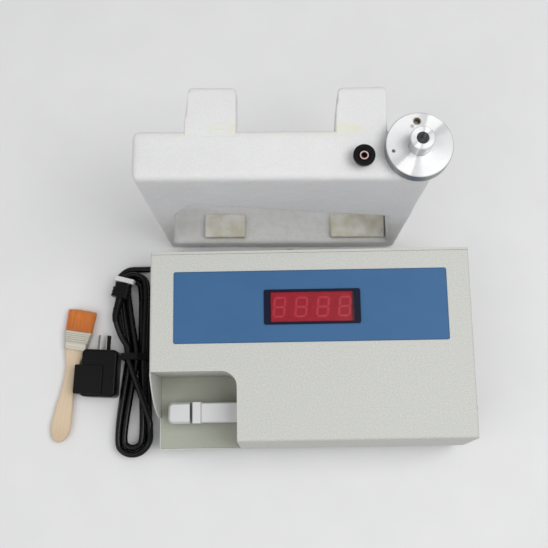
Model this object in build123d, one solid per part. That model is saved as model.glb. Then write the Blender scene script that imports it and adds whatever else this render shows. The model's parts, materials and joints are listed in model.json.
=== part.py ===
from build123d import *
import math
import os

# Tablet hardness tester with its kit: foam end cap, hand wheel, crank knob, brush, travel adapter
# and mains lead. Millimetres. The origin is the centre of the tester's footprint on the bench,
# +X is to the right, +Y to the back and +Z up.

# ------------------------------------------------------------------ driving dimensions
# Case
case_width = 310.0
case_depth = 190.0
case_height = 112.0
front_lean = 7.2        # how far the top of the front wall lies behind its foot
ledge_height = 35.0     # recess floor, and the line above which the front wall leans
sheet = 1.2             # cover, liner and back panel
tray_sheet = 1.5
sheet_slip = 0.2        # between two nested folded sheets
bend_radius = 2.6       # outside of a sheet bend
foot_height = 12.0
foot_radius = 11.0
foot_taper = 2.0
foot_inset = 20.0       # foot centre from the case's sides
foot_bore_radius = 5.0
foot_bore_depth = 7.0
cover_lift = 0.6        # cover's lower edge above the tray's underside
tray_wall = 18.0
back_strip = 2.8        # back panel's rim that shows behind the cover
seam_gap = 0.3
panel_flange = 12.0
flange_bend = 1.0       # inside of the back panel's flange

# Recess at the front left
recess_width = 83.3
recess_depth = 73.6
recess_corner = 15.0
side_arc_radius = 92.0  # curved front edge of the left side wall
channel_width = 18.0    # folded supports under the recess floor
channel_places = (-140.0, -98.0)

# Screws that show on the case
screw_radius = 1.9
screw_head_radius = 3.2
screw_head = 1.6
screw_length = 7.0
screw_clearance = 0.15
tray_screw_height = 21.0
tray_screw_places = (-70.0, 0.0, 70.0)
panel_screw_height = 92.0
panel_screw_setback = 9.0

# Front label and display
label_width = 264.4
label_depth = 70.0
label_centre_y = 39.8
label_corner = 2.0
label_thickness = 0.4
display_centre_x = 1.6
display_centre_y = 38.8
bezel_width = 93.0
bezel_depth = 34.0
bezel_flange = 1.2
bezel_wall = 2.0
bezel_drop = 7.0
display_fit = 0.2
digit_width = 20.0
digit_depth = 27.7
digit_height = 8.0
digit_count = 4
filter_margin = 0.6
filter_thickness = 1.8
filter_recess = 0.4
display_gap = 0.3       # filter above the digits
board_thickness = 1.6
display_board_width = 112.0
display_board_depth = 46.0
spacer_radius = 3.0
display_spacer_inset = 4.0

# Press drive
axis_y = -58.8
axis_z = 55.0
jaw_width = 20.7
jaw_left = -142.7
jaw_face = -121.4
jaw_top = 65.0
jaw_corner = 5.0
jaw_bevel = 2.0
arm_width = 18.0
arm_thickness = 6.0
arm_bottom = 39.0
arm_end = -37.3
tablet_gap = 2.3        # between the faces as photographed
closed_gap = 0.3
open_gap = 39.3
pad_thickness = 9.4
pad_clearance = 0.6     # pad above the arm
bar_width = 19.7
bar_height = 16.0
bar_bore_radius = 5.6
bar_bore_depth = 56.0
pad_bevel = 1.0
carriage_left = -20.0
carriage_length = 20.0
carriage_width = 60.0
carriage_height = 24.0
rod_radius = 4.0
rod_spacing = 44.0
bush_wall = 2.0
running_fit = 0.05      # radial, at every turning or sliding bore
fixed_fit = 0.02        # radial, where a piece is pressed or glued in
screw_rod_radius = 5.0
screw_rod_left = -25.0
nut_radius = 9.0
nut_flange_radius = 13.0
nut_flange = 4.0
block_width = 60.0
block_top = 76.0
guide_block_thickness = 12.0
guide_window_clearance = 0.4
arm_clearance = 1.5
bearing_block_left = 122.0
bearing_block_thickness = 14.0
bearing_radius = 9.5
bearing_width = 5.0
bearing_split = 7.2     # radius where inner and outer ring are parted
bearing_gap = 0.5
bearing_proud = 0.3
collar_radius = 9.0
collar_length = 8.0
slot_clearance = 2.0
side_bush_radius = 7.0
side_bush_flange_radius = 10.0
side_bush_flange = 2.0
side_bush_length = 5.0
shaft_stub = 10.0
shaft_chamfer = 1.0
groove_clearance = 0.6  # retaining groove beside the bush
groove_width = 1.3
groove_depth = 0.4

# Load cell
cell_width = 12.7
cell_length = 80.0
cell_height = 12.7
cell_overhang = 10.0    # in front of the drive axis
cell_hole_radius = 4.0
cell_hole_pitch = 11.0
cell_block_length = 23.0
cell_screw_radius = 2.5
cell_screw_head_radius = 4.4
cell_screw_length = 13.0
cell_screw_pitch = 9.0

# Electronics
main_board_left = 0.0
main_board_front = -12.0
main_board_width = 130.0
main_board_depth = 88.0
board_lift = 10.0
board_hole_inset = 5.0
core_left = -136.0
core_front = 25.0
core_width = 57.0
core_height = 48.0
core_stack = 22.0
core_leg = 19.0
core_yoke = 9.5
core_foot = 1.5
core_foot_reach = 7.0
winding_wall = 8.8
winding_clearance = 0.35
sink_width = 40.0
sink_depth = 22.0
sink_height = 30.0
sink_base = 3.0
sink_fin = 1.5
sink_fin_count = 7
sink_inset = (12.0, 8.0)            # from the board's right and back edges
capacitor_radius = 8.0
capacitor_height = 25.0
capacitor_places = (20.0, 40.0, 60.0)
capacitor_setback = 18.0
chip_height = 4.0
chip_places = (                     # left, front, width and depth, on the board
    (20.0, 20.0, 50.0, 15.0),
    (20.0, 44.0, 20.0, 8.0),
    (52.0, 44.0, 20.0, 8.0),
    (86.0, 20.0, 20.0, 8.0),
)
terminal_width = 45.0
terminal_depth = 11.0
terminal_height = 12.0
terminal_ways = 6
terminal_hole_depth = 3.0
terminal_inset = (3.0, 8.0)         # from the board's right and front edges

# Back panel fittings
switch_x = -55.0
fitting_height = 66.0
switch_flange_width = 15.6
switch_flange_height = 23.6
switch_flange = 2.0
switch_body_width = 13.2
switch_body_height = 21.0
switch_body_depth = 18.0
switch_wall = 1.2
rocker_clearance = 0.35
rocker_reach = 8.4
rocker_rise = 3.4
rocker_dip = 2.0
rocker_depth = 5.0
rocker_taper = 1.0
rocker_tilt = 6.0
fuse_x = -18.0
fuse_flange_radius = 8.0
fuse_flange = 2.0
fuse_tube_radius = 6.2
fuse_tube_length = 34.0
fuse_cap_radius = 6.6
fuse_cap_length = 7.0
fuse_cap_gap = 0.3
fuse_stem_radius = 4.3
fuse_stem_length = 14.0
fuse_bore_length = 16.0
fuse_slot_width = 1.4
fuse_slot_depth = 1.5
gland_x = -128.0
gland_height = 38.2
gland_radius = 6.35
gland_flange_radius = 8.5
gland_flange = 2.5
gland_inside = 9.0
gland_edge = 1.0

# Foam end cap, standing on edge behind the tester
foam_left = -150.6
foam_front = 124.0
foam_yaw = -0.8
foam_width = 249.0
foam_height = 254.0
foam_thickness = 43.6
foam_edge = 4.0
window_corner = 8.0
window_sill = 25.0
window_foot_left = 8.0
window_shoulder = (24.0, 138.0)
window_peak = (44.0, 172.0)
window_right_top = (223.0, 131.0)
window_foot_right = 237.0
bar_places = (46.4, 171.6)     # left edges of the two glued bars
foam_bar_back_width = 41.0
foam_bar_front_width = 44.5
foam_bar_depth = 38.0
foam_bar_height = 24.0
foam_pad_height = 8.0
foam_pad_places = ((41.0, 44.0), (177.0, 58.0))  # left edge and width
foam_pad_edge = 1.0
foam_pad_setback = 5.0
foam_pad_depth = 26.0

# Hand wheel and crank knob, lying on the foam
wheel_x = 236.2         # along the foam from its left end
wheel_setback = 24.8
wheel_radius = 27.5
wheel_rim = 12.0
wheel_hub_radius = 10.0
wheel_hub = 16.0
wheel_bore_radius = 5.1
wheel_edge = 0.8
crank_hole_radius = 2.6
crank_hole_orbit = 20.0
crank_hole_angle = 94.0
pin_hole_radius = 1.5
pin_hole_orbit = 22.0
pin_hole_angle = 194.0
pin_hole_depth = 8.0
set_screw_radius = 2.1
knob_x = 191.4
knob_setback = 16.8
knob_radius = 9.0
knob_foot_radius = 6.0
knob_height = 11.0
knob_rim = 3.0
knob_recess_radius = 5.6
knob_recess_depth = 1.5
insert_radius = 3.6
insert_length = 8.0
insert_bore_radius = 2.1
insert_floor = 1.0

# Brush
brush_tip = (-244.4, 56.5)
brush_heading = -99.3   # degrees, from the bristle tips towards the handle's end
bristle_length = 25.0
bristle_width = 28.2
bristle_thickness = 8.0
bristle_columns = 34
bristle_rows = 10
strand_width = 0.5
strand_splay = 1.07     # tip spacing over root spacing
bristle_root = 2.0
ferrule_length = 20.0
ferrule_wide = 30.6
ferrule_narrow = 23.8
ferrule_thickness = 10.0
ferrule_sheet = 0.6
ridge_height = 0.5
ridge_width = 0.9
ridge_inset = 1.0
ridge_places = (2.5, 4.7, 6.9, 9.1, 11.3)
handle_thickness = 6.0
handle_tongue = 12.0
handle_fit = 0.5
handle_side = (         # distance from the bristle tips, and width
    (51.5, 20.4),
    (57.0, 16.4),
    (65.0, 13.4),
    (74.0, 12.4),
    (90.0, 14.0),
    (110.0, 18.6),
    (126.0, 21.0),
    (138.0, 15.6),
)
brush_length = 144.0

# Travel adapter
adapter_centre = (-222.6, -14.2)
adapter_turn = -3.0
adapter_width = 38.0
adapter_length = 50.0
adapter_height = 23.5
adapter_edge = 5.0
adapter_block = (-25.0, 4.5, -22.5, 8.0)  # raised block: left, right, back and front
adapter_block_height = 26.0
adapter_block_edge = 1.5
blade_length = 16.0
blade_height = 6.3
blade_thickness = 1.6
blade_spacing = 9.2
blade_centre = 1.3
blade_lean = 30.0        # each blade's top leans towards the other
blade_root = 6.0
outlet_slot = (2.4, 7.0)
outlet_spacing = 12.7
outlet_depth = 12.0

# Mains lead
cord_diameter = 6.5
cord_pitch = 7.02       # between turns that lie side by side, and between layers
cord_floor = 1.0        # under the hank, where the tie passes
corner_share = 0.49     # of the shorter run that a rounded corner takes
fold_radius = 6.9       # innermost fold of the hank
fold_corner = 50.0      # turn at each of a fold's four corners, more than 45 as the runs draw in
hank_top_y = 79.0
hank_waist_y = 3.0
waist_length = 9.0      # straight stretch of every strand inside the tie
hank_bottom_y = -82.0
hank_top_x = -188.5
hank_waist_x = -182.5
hank_bottom_x = -187.5
hank_turns = 3.25
crossing_rise = 14.0    # length over which the last strand climbs onto the hank
crossing_start = 24.0   # where it starts to cross to the other side
lead_exit = 2.5         # straight out of the gland
lead_entry = 9.0        # straight into the hank
lead_route = (
    (-128.7, 104.1, 37.3),
    (-130.4, 107.3, 35.2),
    (-132.7, 109.1, 32.2),
    (-139.5, 108.7, 23.3),
    (-148.3, 106.7, 15.6),
    (-157.5, 103.6, 9.4),
    (-165.5, 101.0, 5.2),
)
tail_route = (
    (-199.0, 22.5, 18.69),
    (-203.6, 34.0, 20.29),
)
tail_entry = 9.0        # straight into the plug
tie_width = 7.0
tie_thickness = 0.8
tie_clearance = 0.35
plug_front = (-195.6, 87.0)
plug_heading = 75.5     # degrees, the way the pins point
guard_length = 5.0
guard_width = 21.0
guard_height = 10.0
guard_edge = 1.5
pin_gap = 1.0
pin_length = 16.0
pin_radius = 2.0
pin_spacing = 10.0
pin_fit = 0.1
plug_neck = (6.0, 16.4, 12.0)       # length, width and height
plug_grip = (10.0, 19.4, 15.0)
plug_grooves = 2
groove_gap = 1.0
groove_sink = 0.7
plug_relief_length = 12.0
plug_relief_radius = 4.6
plug_seat = 0.4
plug_rounding = 0.3     # corner radius over the smaller side

half_width = case_width / 2
front_y = -case_depth / 2
back_y = case_depth / 2
tray_floor = foot_height + tray_sheet
tray_inset = sheet + sheet_slip
seam_y = back_y - back_strip
top_underside = case_height - sheet
recess_right = -half_width + recess_width
recess_back = front_y + recess_depth
side_arc_y = recess_back + math.sqrt(side_arc_radius**2 - (case_height - ledge_height) ** 2)
label_top = case_height + label_thickness
filter_width = digit_count * digit_width + 2 * filter_margin
filter_depth = digit_depth + 2 * filter_margin
filter_top = label_top + bezel_flange - filter_recess
digits_top = filter_top - filter_thickness - display_gap
display_board_top = digits_top - digit_height
pad_left = jaw_face + tablet_gap
bar_left = pad_left + pad_thickness
bar_bottom = axis_z - bar_height / 2
arm_top = arm_bottom + arm_thickness
guide_block_left = recess_right + sheet + sheet_slip
slide_in = closed_gap - tablet_gap
slide_out = open_gap - tablet_gap
cell_left = arm_end - cell_width
cell_front = axis_y - cell_overhang
cell_bottom = arm_bottom - cell_height
board_bottom = tray_floor + board_lift
board_top = board_bottom + board_thickness
wheel_length = wheel_rim + wheel_hub
cord_radius = cord_diameter / 2
plug_length = plug_neck[0] + plug_grip[0] + plug_relief_length
hank_layer = (
    cord_floor + cord_radius,
    cord_floor + cord_radius + cord_pitch,
    cord_floor + cord_radius + 2 * cord_pitch,
)


# ------------------------------------------------------------------ helpers
def block(x0, x1, y0, y1, z0, z1):
    """A block between two corners."""
    size = Box(x1 - x0, y1 - y0, z1 - z0, align=(Align.MIN, Align.MIN, Align.MIN))
    return Pos(x0, y0, z0) * size


def rod_x(x0, x1, y, z, radius):
    """A round bar along X."""
    bar = Cylinder(radius, x1 - x0, align=(Align.CENTER, Align.CENTER, Align.MIN))
    return Pos(x0, y, z) * Rot(0, 90, 0) * bar


def rod_y(x, y0, y1, z, radius):
    """A round bar along Y."""
    bar = Cylinder(radius, y1 - y0, align=(Align.CENTER, Align.CENTER, Align.MIN))
    return Pos(x, y0, z) * Rot(-90, 0, 0) * bar


def rod_z(x, y, z0, z1, radius):
    """A round bar along Z."""
    bar = Cylinder(radius, z1 - z0, align=(Align.CENTER, Align.CENTER, Align.MIN))
    return Pos(x, y, z0) * bar


def slab(points, thickness, z0=0.0):
    """A flat outline in plan, made thick upwards."""
    return extrude(Plane.XY.offset(z0) * make_face(Polyline(*points, close=True)), thickness)


def group(pieces):
    """Several separate solids in one node."""
    return Compound(children=[solid for piece in pieces for solid in piece.solids()])


def front_at(height, inset):
    """Where the front wall stands at a height, moved inwards by inset."""
    rise = max(0.0, height - ledge_height) / (case_height - ledge_height)
    return front_y + inset + front_lean * rise


def along_x(outline, width):
    """An outline in Y and Z, made thick along X, half to each side."""
    face = make_face(Polyline(*[(0, y, z) for y, z in outline], close=True))
    return Pos(-width / 2, 0, 0) * extrude(face, width, dir=(1, 0, 0))


def leaning_block(inset, top, bottom=foot_height, back=back_y):
    """The case's outline with its leaning front as a solid, moved inwards by inset."""
    outline = [
        (front_y + inset, bottom),
        (front_y + inset, ledge_height),
        (front_at(top, inset), top),
        (back, top),
        (back, bottom),
    ]
    return along_x(outline, case_width - 2 * inset)


def case_block(inset, bottom, back, radius):
    """The folded case as a solid, moved inwards by inset, with its bends rounded."""
    body = leaning_block(inset, case_height - inset, bottom, back)
    bends = body.edges().group_by(Axis.Z)[-1].sort_by(Axis.Y)[:-1]
    return fillet(bends, radius)


# ------------------------------------------------------------------ case
def make_base_tray():
    """Folded tray that everything stands in."""
    side = half_width - tray_inset
    front = front_y + tray_inset
    back = back_y - tray_inset
    top = tray_floor + tray_wall
    tray = block(-side, side, front, back, foot_height, top)
    side -= tray_sheet
    tray -= block(-side, side, front + tray_sheet, back - tray_sheet, tray_floor, top + 1)
    for screw in tray_screw_axes():
        tray -= screw_hole(*screw)
    return tray


def make_rubber_feet():
    """Four tapered feet with a counterbore for their screws."""
    feet = []
    for x in (-half_width + foot_inset, half_width - foot_inset):
        for y in (front_y + foot_inset, back_y - foot_inset):
            foot = Pos(x, y, foot_height / 2) * Cone(foot_radius - foot_taper, foot_radius, foot_height)
            feet.append(foot - rod_z(x, y, -1, foot_bore_depth, foot_bore_radius))
    return group(feet)


def tray_screw_axes():
    """Side, Y and height of every screw into the tray."""
    return [(side, y, tray_screw_height) for side in (-1, 1) for y in tray_screw_places]


def panel_screw_axes():
    """Side, Y and height of every screw into the back panel's flanges."""
    return [(side, back_y - panel_screw_setback, panel_screw_height) for side in (-1, 1)]


def screw_hole(side, y, z):
    """Clearance hole for one case screw."""
    inner = half_width - screw_length - 2
    outer = half_width + 1
    ends = sorted((side * inner, side * outer))
    return rod_x(ends[0], ends[1], y, z, screw_radius + screw_clearance)


def make_cover_screws():
    """Low-headed screws that hold the cover to the tray and to the back panel."""
    screws = []
    for side, y, z in tray_screw_axes() + panel_screw_axes():
        ends = sorted((side * (half_width - screw_length), side * half_width))
        head_ends = sorted((side * half_width, side * (half_width + screw_head)))
        shank = rod_x(ends[0], ends[1], y, z, screw_radius)
        head = rod_x(head_ends[0], head_ends[1], y, z, screw_head_radius)
        screws.append(shank + head)
    return group(screws)


def recess_cut():
    """Space of the recess above its floor, open to the front, the left and the top."""
    margin = 5.0
    left = -half_width - margin
    cut = block(left, recess_right, front_y - margin, recess_back, ledge_height, case_height + margin)
    return fillet(recess_corner_edge(cut), recess_corner)


def recess_corner_edge(piece):
    """The upright edge at the recess's inner back corner."""
    return piece.edges().filter_by(Axis.Z).sort_by(lambda edge: -edge.center().X - edge.center().Y)[0]


def make_top_cover():
    """Textured sheet cover: top, leaning front, both sides, and the apron under the recess."""
    bottom = foot_height + cover_lift
    cover = case_block(0.0, bottom, seam_y, bend_radius)
    cover -= case_block(sheet, bottom - 1, seam_y + 1, bend_radius - sheet)
    above = case_height + 5
    side_inside = -half_width + sheet
    cover -= recess_cut() & block(side_inside, recess_right, front_y - 5, recess_back, 0, above)
    arc = rod_x(-half_width - 1, side_inside + 1, side_arc_y, ledge_height, side_arc_radius)
    cover -= block(-half_width - 1, side_inside, front_y - 5, recess_back, ledge_height, above) - arc
    cover -= bezel_body(display_fit)
    bush_hole = rod_x(half_width - 5, half_width + 1, axis_y, axis_z, side_bush_radius + fixed_fit)
    cover -= bush_hole
    for screw in tray_screw_axes() + panel_screw_axes():
        cover -= screw_hole(*screw)
    return cover


def make_recess_liner():
    """Recess floor with its back and right wall, bent round the corner in one sheet."""
    left = -half_width + tray_inset
    right = recess_right + sheet
    floor = ledge_height - sheet
    grown = block(left, right, front_y - 5, recess_back + sheet, floor, top_underside)
    liner = fillet(recess_corner_edge(grown), recess_corner + sheet) - recess_cut()
    liner = liner & leaning_block(tray_inset, top_underside)
    slot = block(
        recess_right - 1,
        recess_right + sheet + 1,
        axis_y - jaw_width / 2 - slot_clearance,
        axis_y + jaw_width / 2 + slot_clearance,
        arm_bottom - slot_clearance,
        bar_bottom + bar_height + slot_clearance,
    )
    return liner - slot


def make_recess_supports():
    """Folded channels that carry the recess floor on the tray."""
    y0 = front_y + tray_inset + 2 * tray_sheet
    y1 = recess_back - 2 * tray_sheet
    channels = []
    for x in channel_places:
        outer = block(x, x + channel_width, y0, y1, tray_floor, ledge_height - sheet)
        inner_x = (x + tray_sheet, x + channel_width - tray_sheet)
        channels.append(outer - block(*inner_x, y0 - 1, y1 + 1, 0, ledge_height - sheet - tray_sheet))
    return group(channels)


def make_back_panel():
    """Back panel with a rim flush with the cover and flanges that reach under it."""
    bottom = foot_height + cover_lift
    rim = case_block(0.0, bottom, back_y, bend_radius)
    rim -= block(-half_width - 1, half_width + 1, front_y - 1, seam_y + seam_gap, 0, case_height + 1)
    plate_front = back_y - sheet
    rim -= case_block(sheet, bottom - 1, plate_front, bend_radius - sheet)
    flange_inset = sheet + sheet_slip
    flange = case_block(flange_inset, bottom, plate_front, bend_radius - sheet)
    flange -= case_block(flange_inset + sheet, bottom - 1, plate_front + 1, flange_bend)
    flange -= block(-half_width, half_width, front_y - 1, seam_y - panel_flange, 0, case_height)
    flange -= block(-half_width, half_width, front_y, back_y, 0, tray_floor + tray_wall + 1)
    panel = rim + flange
    for screw in panel_screw_axes():
        panel -= screw_hole(*screw)
    panel -= block(
        switch_x - switch_body_width / 2 - fixed_fit,
        switch_x + switch_body_width / 2 + fixed_fit,
        back_y - 5,
        back_y + 1,
        fitting_height - switch_body_height / 2 - fixed_fit,
        fitting_height + switch_body_height / 2 + fixed_fit,
    )
    panel -= rod_y(fuse_x, back_y - 5, back_y + 1, fitting_height, fuse_tube_radius + fixed_fit)
    panel -= rod_y(gland_x, back_y - 5, back_y + 1, gland_height, gland_radius + fixed_fit)
    return panel


# ------------------------------------------------------------------ label and display
def display_block(width, depth, z0, z1):
    """A block centred on the display."""
    x = display_centre_x
    y = display_centre_y
    return block(x - width / 2, x + width / 2, y - depth / 2, y + depth / 2, z0, z1)


def bezel_body(clearance):
    """Outer form of the bezel's part below the label, with a clearance all round."""
    grow = 2 * (bezel_wall + clearance)
    return display_block(filter_width + grow, filter_depth + grow, label_top - bezel_drop, label_top)


def make_front_label():
    """Printed blue overlay with the display opening."""
    x = label_width / 2
    y0 = label_centre_y - label_depth / 2
    label = block(-x, x, y0, y0 + label_depth, case_height, label_top)
    label = fillet(label.edges().filter_by(Axis.Z), label_corner)
    return label - bezel_body(display_fit)


def make_display_bezel():
    """Black frame that clips through the label and holds the red filter."""
    flange = display_block(bezel_width, bezel_depth, label_top, label_top + bezel_flange)
    flange = fillet(flange.edges().filter_by(Axis.Z), label_corner)
    frame = flange + bezel_body(0.0)
    grow = 2 * display_fit
    return frame - display_block(filter_width + grow, filter_depth + grow, 0, case_height + 10)


def make_display_filter():
    """Red window over the digits."""
    return display_block(filter_width, filter_depth, filter_top - filter_thickness, filter_top)


def make_display_digits():
    """Four seven-segment modules side by side."""
    left = display_centre_x - digit_count * digit_width / 2
    y0 = display_centre_y - digit_depth / 2
    digits = []
    for index in range(digit_count):
        x0 = left + index * digit_width
        module = block(x0, x0 + digit_width - fixed_fit, y0, y0 + digit_depth, display_board_top, digits_top)
        digits.append(module)
    return group(digits)


def display_spacer_places():
    """Plan places of the four spacers that hang the display board from the cover."""
    x = display_board_width / 2 - display_spacer_inset
    y = display_board_depth / 2 - display_spacer_inset
    return [(display_centre_x + sx * x, display_centre_y + sy * y) for sx in (-1, 1) for sy in (-1, 1)]


def make_display_board():
    """Board that carries the digits."""
    board_bottom_z = display_board_top - board_thickness
    return display_block(display_board_width, display_board_depth, board_bottom_z, display_board_top)


def make_display_spacers():
    """Spacers between the display board and the cover."""
    places = display_spacer_places()
    return group([rod_z(x, y, display_board_top, top_underside, spacer_radius) for x, y in places])


# ------------------------------------------------------------------ press drive
def make_fixed_jaw():
    """Fixed jaw with its arm, which runs under the plunger to the load cell."""
    y0 = axis_y - jaw_width / 2
    head = block(jaw_left, jaw_face, y0, y0 + jaw_width, arm_bottom, jaw_top)
    left_corners = head.edges().filter_by(Axis.Z).group_by(Axis.X)[0]
    head = fillet(left_corners, jaw_corner)
    front_top = head.edges().filter_by(Axis.X).group_by(Axis.Z)[-1].sort_by(Axis.Y)[0]
    head = chamfer(front_top, jaw_bevel)
    y0 = axis_y - arm_width / 2
    jaw = head + block(jaw_left + jaw_corner, arm_end, y0, y0 + arm_width, arm_bottom, arm_top)
    for x, y in cell_screw_places():
        jaw -= rod_z(x, y, arm_bottom - 1, arm_top + 1, cell_screw_radius + screw_clearance)
        jaw -= cell_screw_head(x, y, screw_clearance)
    return jaw


def cell_screw_places():
    """Plan places of the two screws that fix the jaw's arm to the load cell."""
    x = cell_left + cell_width / 2
    return [(x, axis_y - cell_screw_pitch / 2), (x, axis_y + cell_screw_pitch / 2)]


def cell_screw_head(x, y, clearance):
    """Countersunk head, flush with the arm's top."""
    depth = cell_screw_head_radius - cell_screw_radius
    head = Cone(
        cell_screw_radius + clearance,
        cell_screw_head_radius + clearance,
        depth,
        align=(Align.CENTER, Align.CENTER, Align.MAX),
    )
    return Pos(x, y, arm_top) * head


def make_jaw_screws():
    """Countersunk screws through the arm into the load cell."""
    screws = []
    for x, y in cell_screw_places():
        shank = rod_z(x, y, arm_top - cell_screw_length, arm_top - 0.5, cell_screw_radius)
        screws.append(shank + cell_screw_head(x, y, 0.0))
    return group(screws)


def make_load_cell():
    """Bending beam with the double hole that makes it flex."""
    cell = block(cell_left, arm_end, cell_front, cell_front + cell_length, cell_bottom, arm_bottom)
    middle = cell_front + cell_length / 2
    for y in (middle - cell_hole_pitch / 2, middle + cell_hole_pitch / 2):
        cell -= rod_z(cell_left + cell_width / 2, y, cell_bottom - 1, arm_bottom + 1, cell_hole_radius)
    for x, y in cell_screw_places():
        cell -= rod_z(x, y, arm_top - cell_screw_length - 1, arm_bottom + 1, cell_screw_radius + fixed_fit)
    return cell


def make_load_cell_block():
    """Block that clamps the load cell's back end to the tray."""
    y1 = cell_front + cell_length
    return block(cell_left, arm_end, y1 - cell_block_length, y1, tray_floor, cell_bottom)


def make_plunger_pad():
    """Moving jaw face."""
    y0 = axis_y - jaw_width / 2
    pad = block(pad_left, bar_left, y0, y0 + jaw_width, arm_top + pad_clearance, jaw_top)
    return chamfer(pad.edges().filter_by(Axis.Y).group_by(Axis.Z)[-1], pad_bevel)


def make_plunger_bar():
    """Square plunger, bored from behind for the screw."""
    y0 = axis_y - bar_width / 2
    bar = block(bar_left, carriage_left, y0, y0 + bar_width, bar_bottom, bar_bottom + bar_height)
    bar = chamfer(bar.edges().filter_by(Axis.X).group_by(Axis.Z)[-1], pad_bevel)
    return bar - rod_x(carriage_left - bar_bore_depth, carriage_left + 1, axis_y, axis_z, bar_bore_radius)


def rod_ys():
    """Y of the two guide rods."""
    return (axis_y - rod_spacing / 2, axis_y + rod_spacing / 2)


def make_carriage():
    """Slide that joins the plunger to the nut and runs on both rods."""
    x1 = carriage_left + carriage_length
    y0 = axis_y - carriage_width / 2
    z0 = axis_z - carriage_height / 2
    body = block(carriage_left, x1, y0, y0 + carriage_width, z0, z0 + carriage_height)
    body = chamfer(body.edges().filter_by(Axis.X), pad_bevel)
    body -= rod_x(carriage_left - 1, x1 + 1, axis_y, axis_z, nut_radius + fixed_fit)
    for y in rod_ys():
        body -= rod_x(carriage_left - 1, x1 + 1, y, axis_z, rod_radius + running_fit + bush_wall + fixed_fit)
    return body


def make_carriage_bushes():
    """Bronze bushes that slide on the rods."""
    x1 = carriage_left + carriage_length
    bushes = []
    for y in rod_ys():
        outer = rod_x(carriage_left, x1, y, axis_z, rod_radius + running_fit + bush_wall)
        bushes.append(outer - rod_x(carriage_left - 1, x1 + 1, y, axis_z, rod_radius + running_fit))
    return group(bushes)


def make_drive_nut():
    """Flanged brass nut in the carriage."""
    x1 = carriage_left + carriage_length
    nut = rod_x(carriage_left, x1, axis_y, axis_z, nut_radius)
    nut += rod_x(x1, x1 + nut_flange, axis_y, axis_z, nut_flange_radius)
    bore = screw_rod_radius + running_fit
    return nut - rod_x(carriage_left - 1, x1 + nut_flange + 1, axis_y, axis_z, bore)


def make_lead_screw():
    """Lead screw and wheel shaft in one bar."""
    bush_end = half_width + side_bush_flange
    bar = rod_x(screw_rod_left, bush_end + shaft_stub, axis_y, axis_z, screw_rod_radius)
    bar = chamfer(bar.edges().filter_by(GeomType.CIRCLE), shaft_chamfer)
    groove_left = bush_end + groove_clearance
    groove_right = groove_left + groove_width
    ring = rod_x(groove_left, groove_right, axis_y, axis_z, screw_rod_radius + 1)
    ring -= rod_x(groove_left - 1, groove_right + 1, axis_y, axis_z, screw_rod_radius - groove_depth)
    return bar - ring


def make_guide_rods():
    """Two ground rods between the guide block and the bearing block."""
    x0 = guide_block_left + guide_block_thickness / 2
    x1 = bearing_block_left + bearing_block_thickness
    return group([rod_x(x0, x1, y, axis_z, rod_radius) for y in rod_ys()])


def make_guide_block():
    """Front block: the rods' seats and the window for plunger and arm."""
    x1 = guide_block_left + guide_block_thickness
    y0 = axis_y - block_width / 2
    body = block(guide_block_left, x1, y0, y0 + block_width, tray_floor, block_top)
    half = bar_width / 2 + guide_window_clearance
    bottom = arm_bottom - arm_clearance
    top = bar_bottom + bar_height + guide_window_clearance
    body -= block(guide_block_left - 1, x1 + 1, axis_y - half, axis_y + half, bottom, top)
    middle = guide_block_left + guide_block_thickness / 2
    for y in rod_ys():
        body -= rod_x(middle, x1 + 1, y, axis_z, rod_radius + fixed_fit)
    return body


def bearing_lefts():
    """Left faces of the two bearings."""
    return (bearing_block_left, bearing_block_left + bearing_block_thickness - bearing_width)


def make_bearing_block():
    """Rear block: the rods' other seats and the two bearings."""
    x1 = bearing_block_left + bearing_block_thickness
    y0 = axis_y - block_width / 2
    body = block(bearing_block_left, x1, y0, y0 + block_width, tray_floor, block_top)
    body -= rod_x(bearing_block_left - 1, x1 + 1, axis_y, axis_z, bearing_split + bearing_gap)
    for x in bearing_lefts():
        body -= rod_x(x, x + bearing_width, axis_y, axis_z, bearing_radius + fixed_fit)
    for y in rod_ys():
        body -= rod_x(bearing_block_left - 1, x1 + 1, y, axis_z, rod_radius + fixed_fit)
    return body


def make_bearing_outer_rings():
    """Outer rings, pressed into the block."""
    rings = []
    for x in bearing_lefts():
        ring = rod_x(x, x + bearing_width, axis_y, axis_z, bearing_radius)
        rings.append(ring - rod_x(x - 1, x + bearing_width + 1, axis_y, axis_z, bearing_split + bearing_gap))
    return group(rings)


def make_bearing_inner_rings():
    """Inner rings, which turn with the screw and stand a little proud of the block."""
    rings = []
    first, second = bearing_lefts()
    for x0, x1 in (
        (first - bearing_proud, first + bearing_width),
        (second, second + bearing_width + bearing_proud),
    ):
        ring = rod_x(x0, x1, axis_y, axis_z, bearing_split)
        rings.append(ring - rod_x(x0 - 1, x1 + 1, axis_y, axis_z, screw_rod_radius + fixed_fit))
    return group(rings)


def make_thrust_collars():
    """Collars that take the thrust against the inner rings."""
    left = bearing_block_left - bearing_proud
    right = bearing_block_left + bearing_block_thickness + bearing_proud
    collars = []
    for x0, x1 in ((left - collar_length, left), (right, right + collar_length)):
        collar = rod_x(x0, x1, axis_y, axis_z, collar_radius)
        collars.append(collar - rod_x(x0 - 1, x1 + 1, axis_y, axis_z, screw_rod_radius + fixed_fit))
    return group(collars)


def make_side_bush():
    """Flanged bush where the shaft leaves the case."""
    bush = rod_x(half_width - side_bush_length, half_width, axis_y, axis_z, side_bush_radius)
    bush += rod_x(half_width, half_width + side_bush_flange, axis_y, axis_z, side_bush_flange_radius)
    bore_left = half_width - side_bush_length - 1
    bore_right = half_width + side_bush_flange + 1
    return bush - rod_x(bore_left, bore_right, axis_y, axis_z, screw_rod_radius + running_fit)


# ------------------------------------------------------------------ electronics
def make_main_board():
    """Main circuit board."""
    x1 = main_board_left + main_board_width
    y1 = main_board_front + main_board_depth
    return block(main_board_left, x1, main_board_front, y1, board_bottom, board_top)


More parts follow.
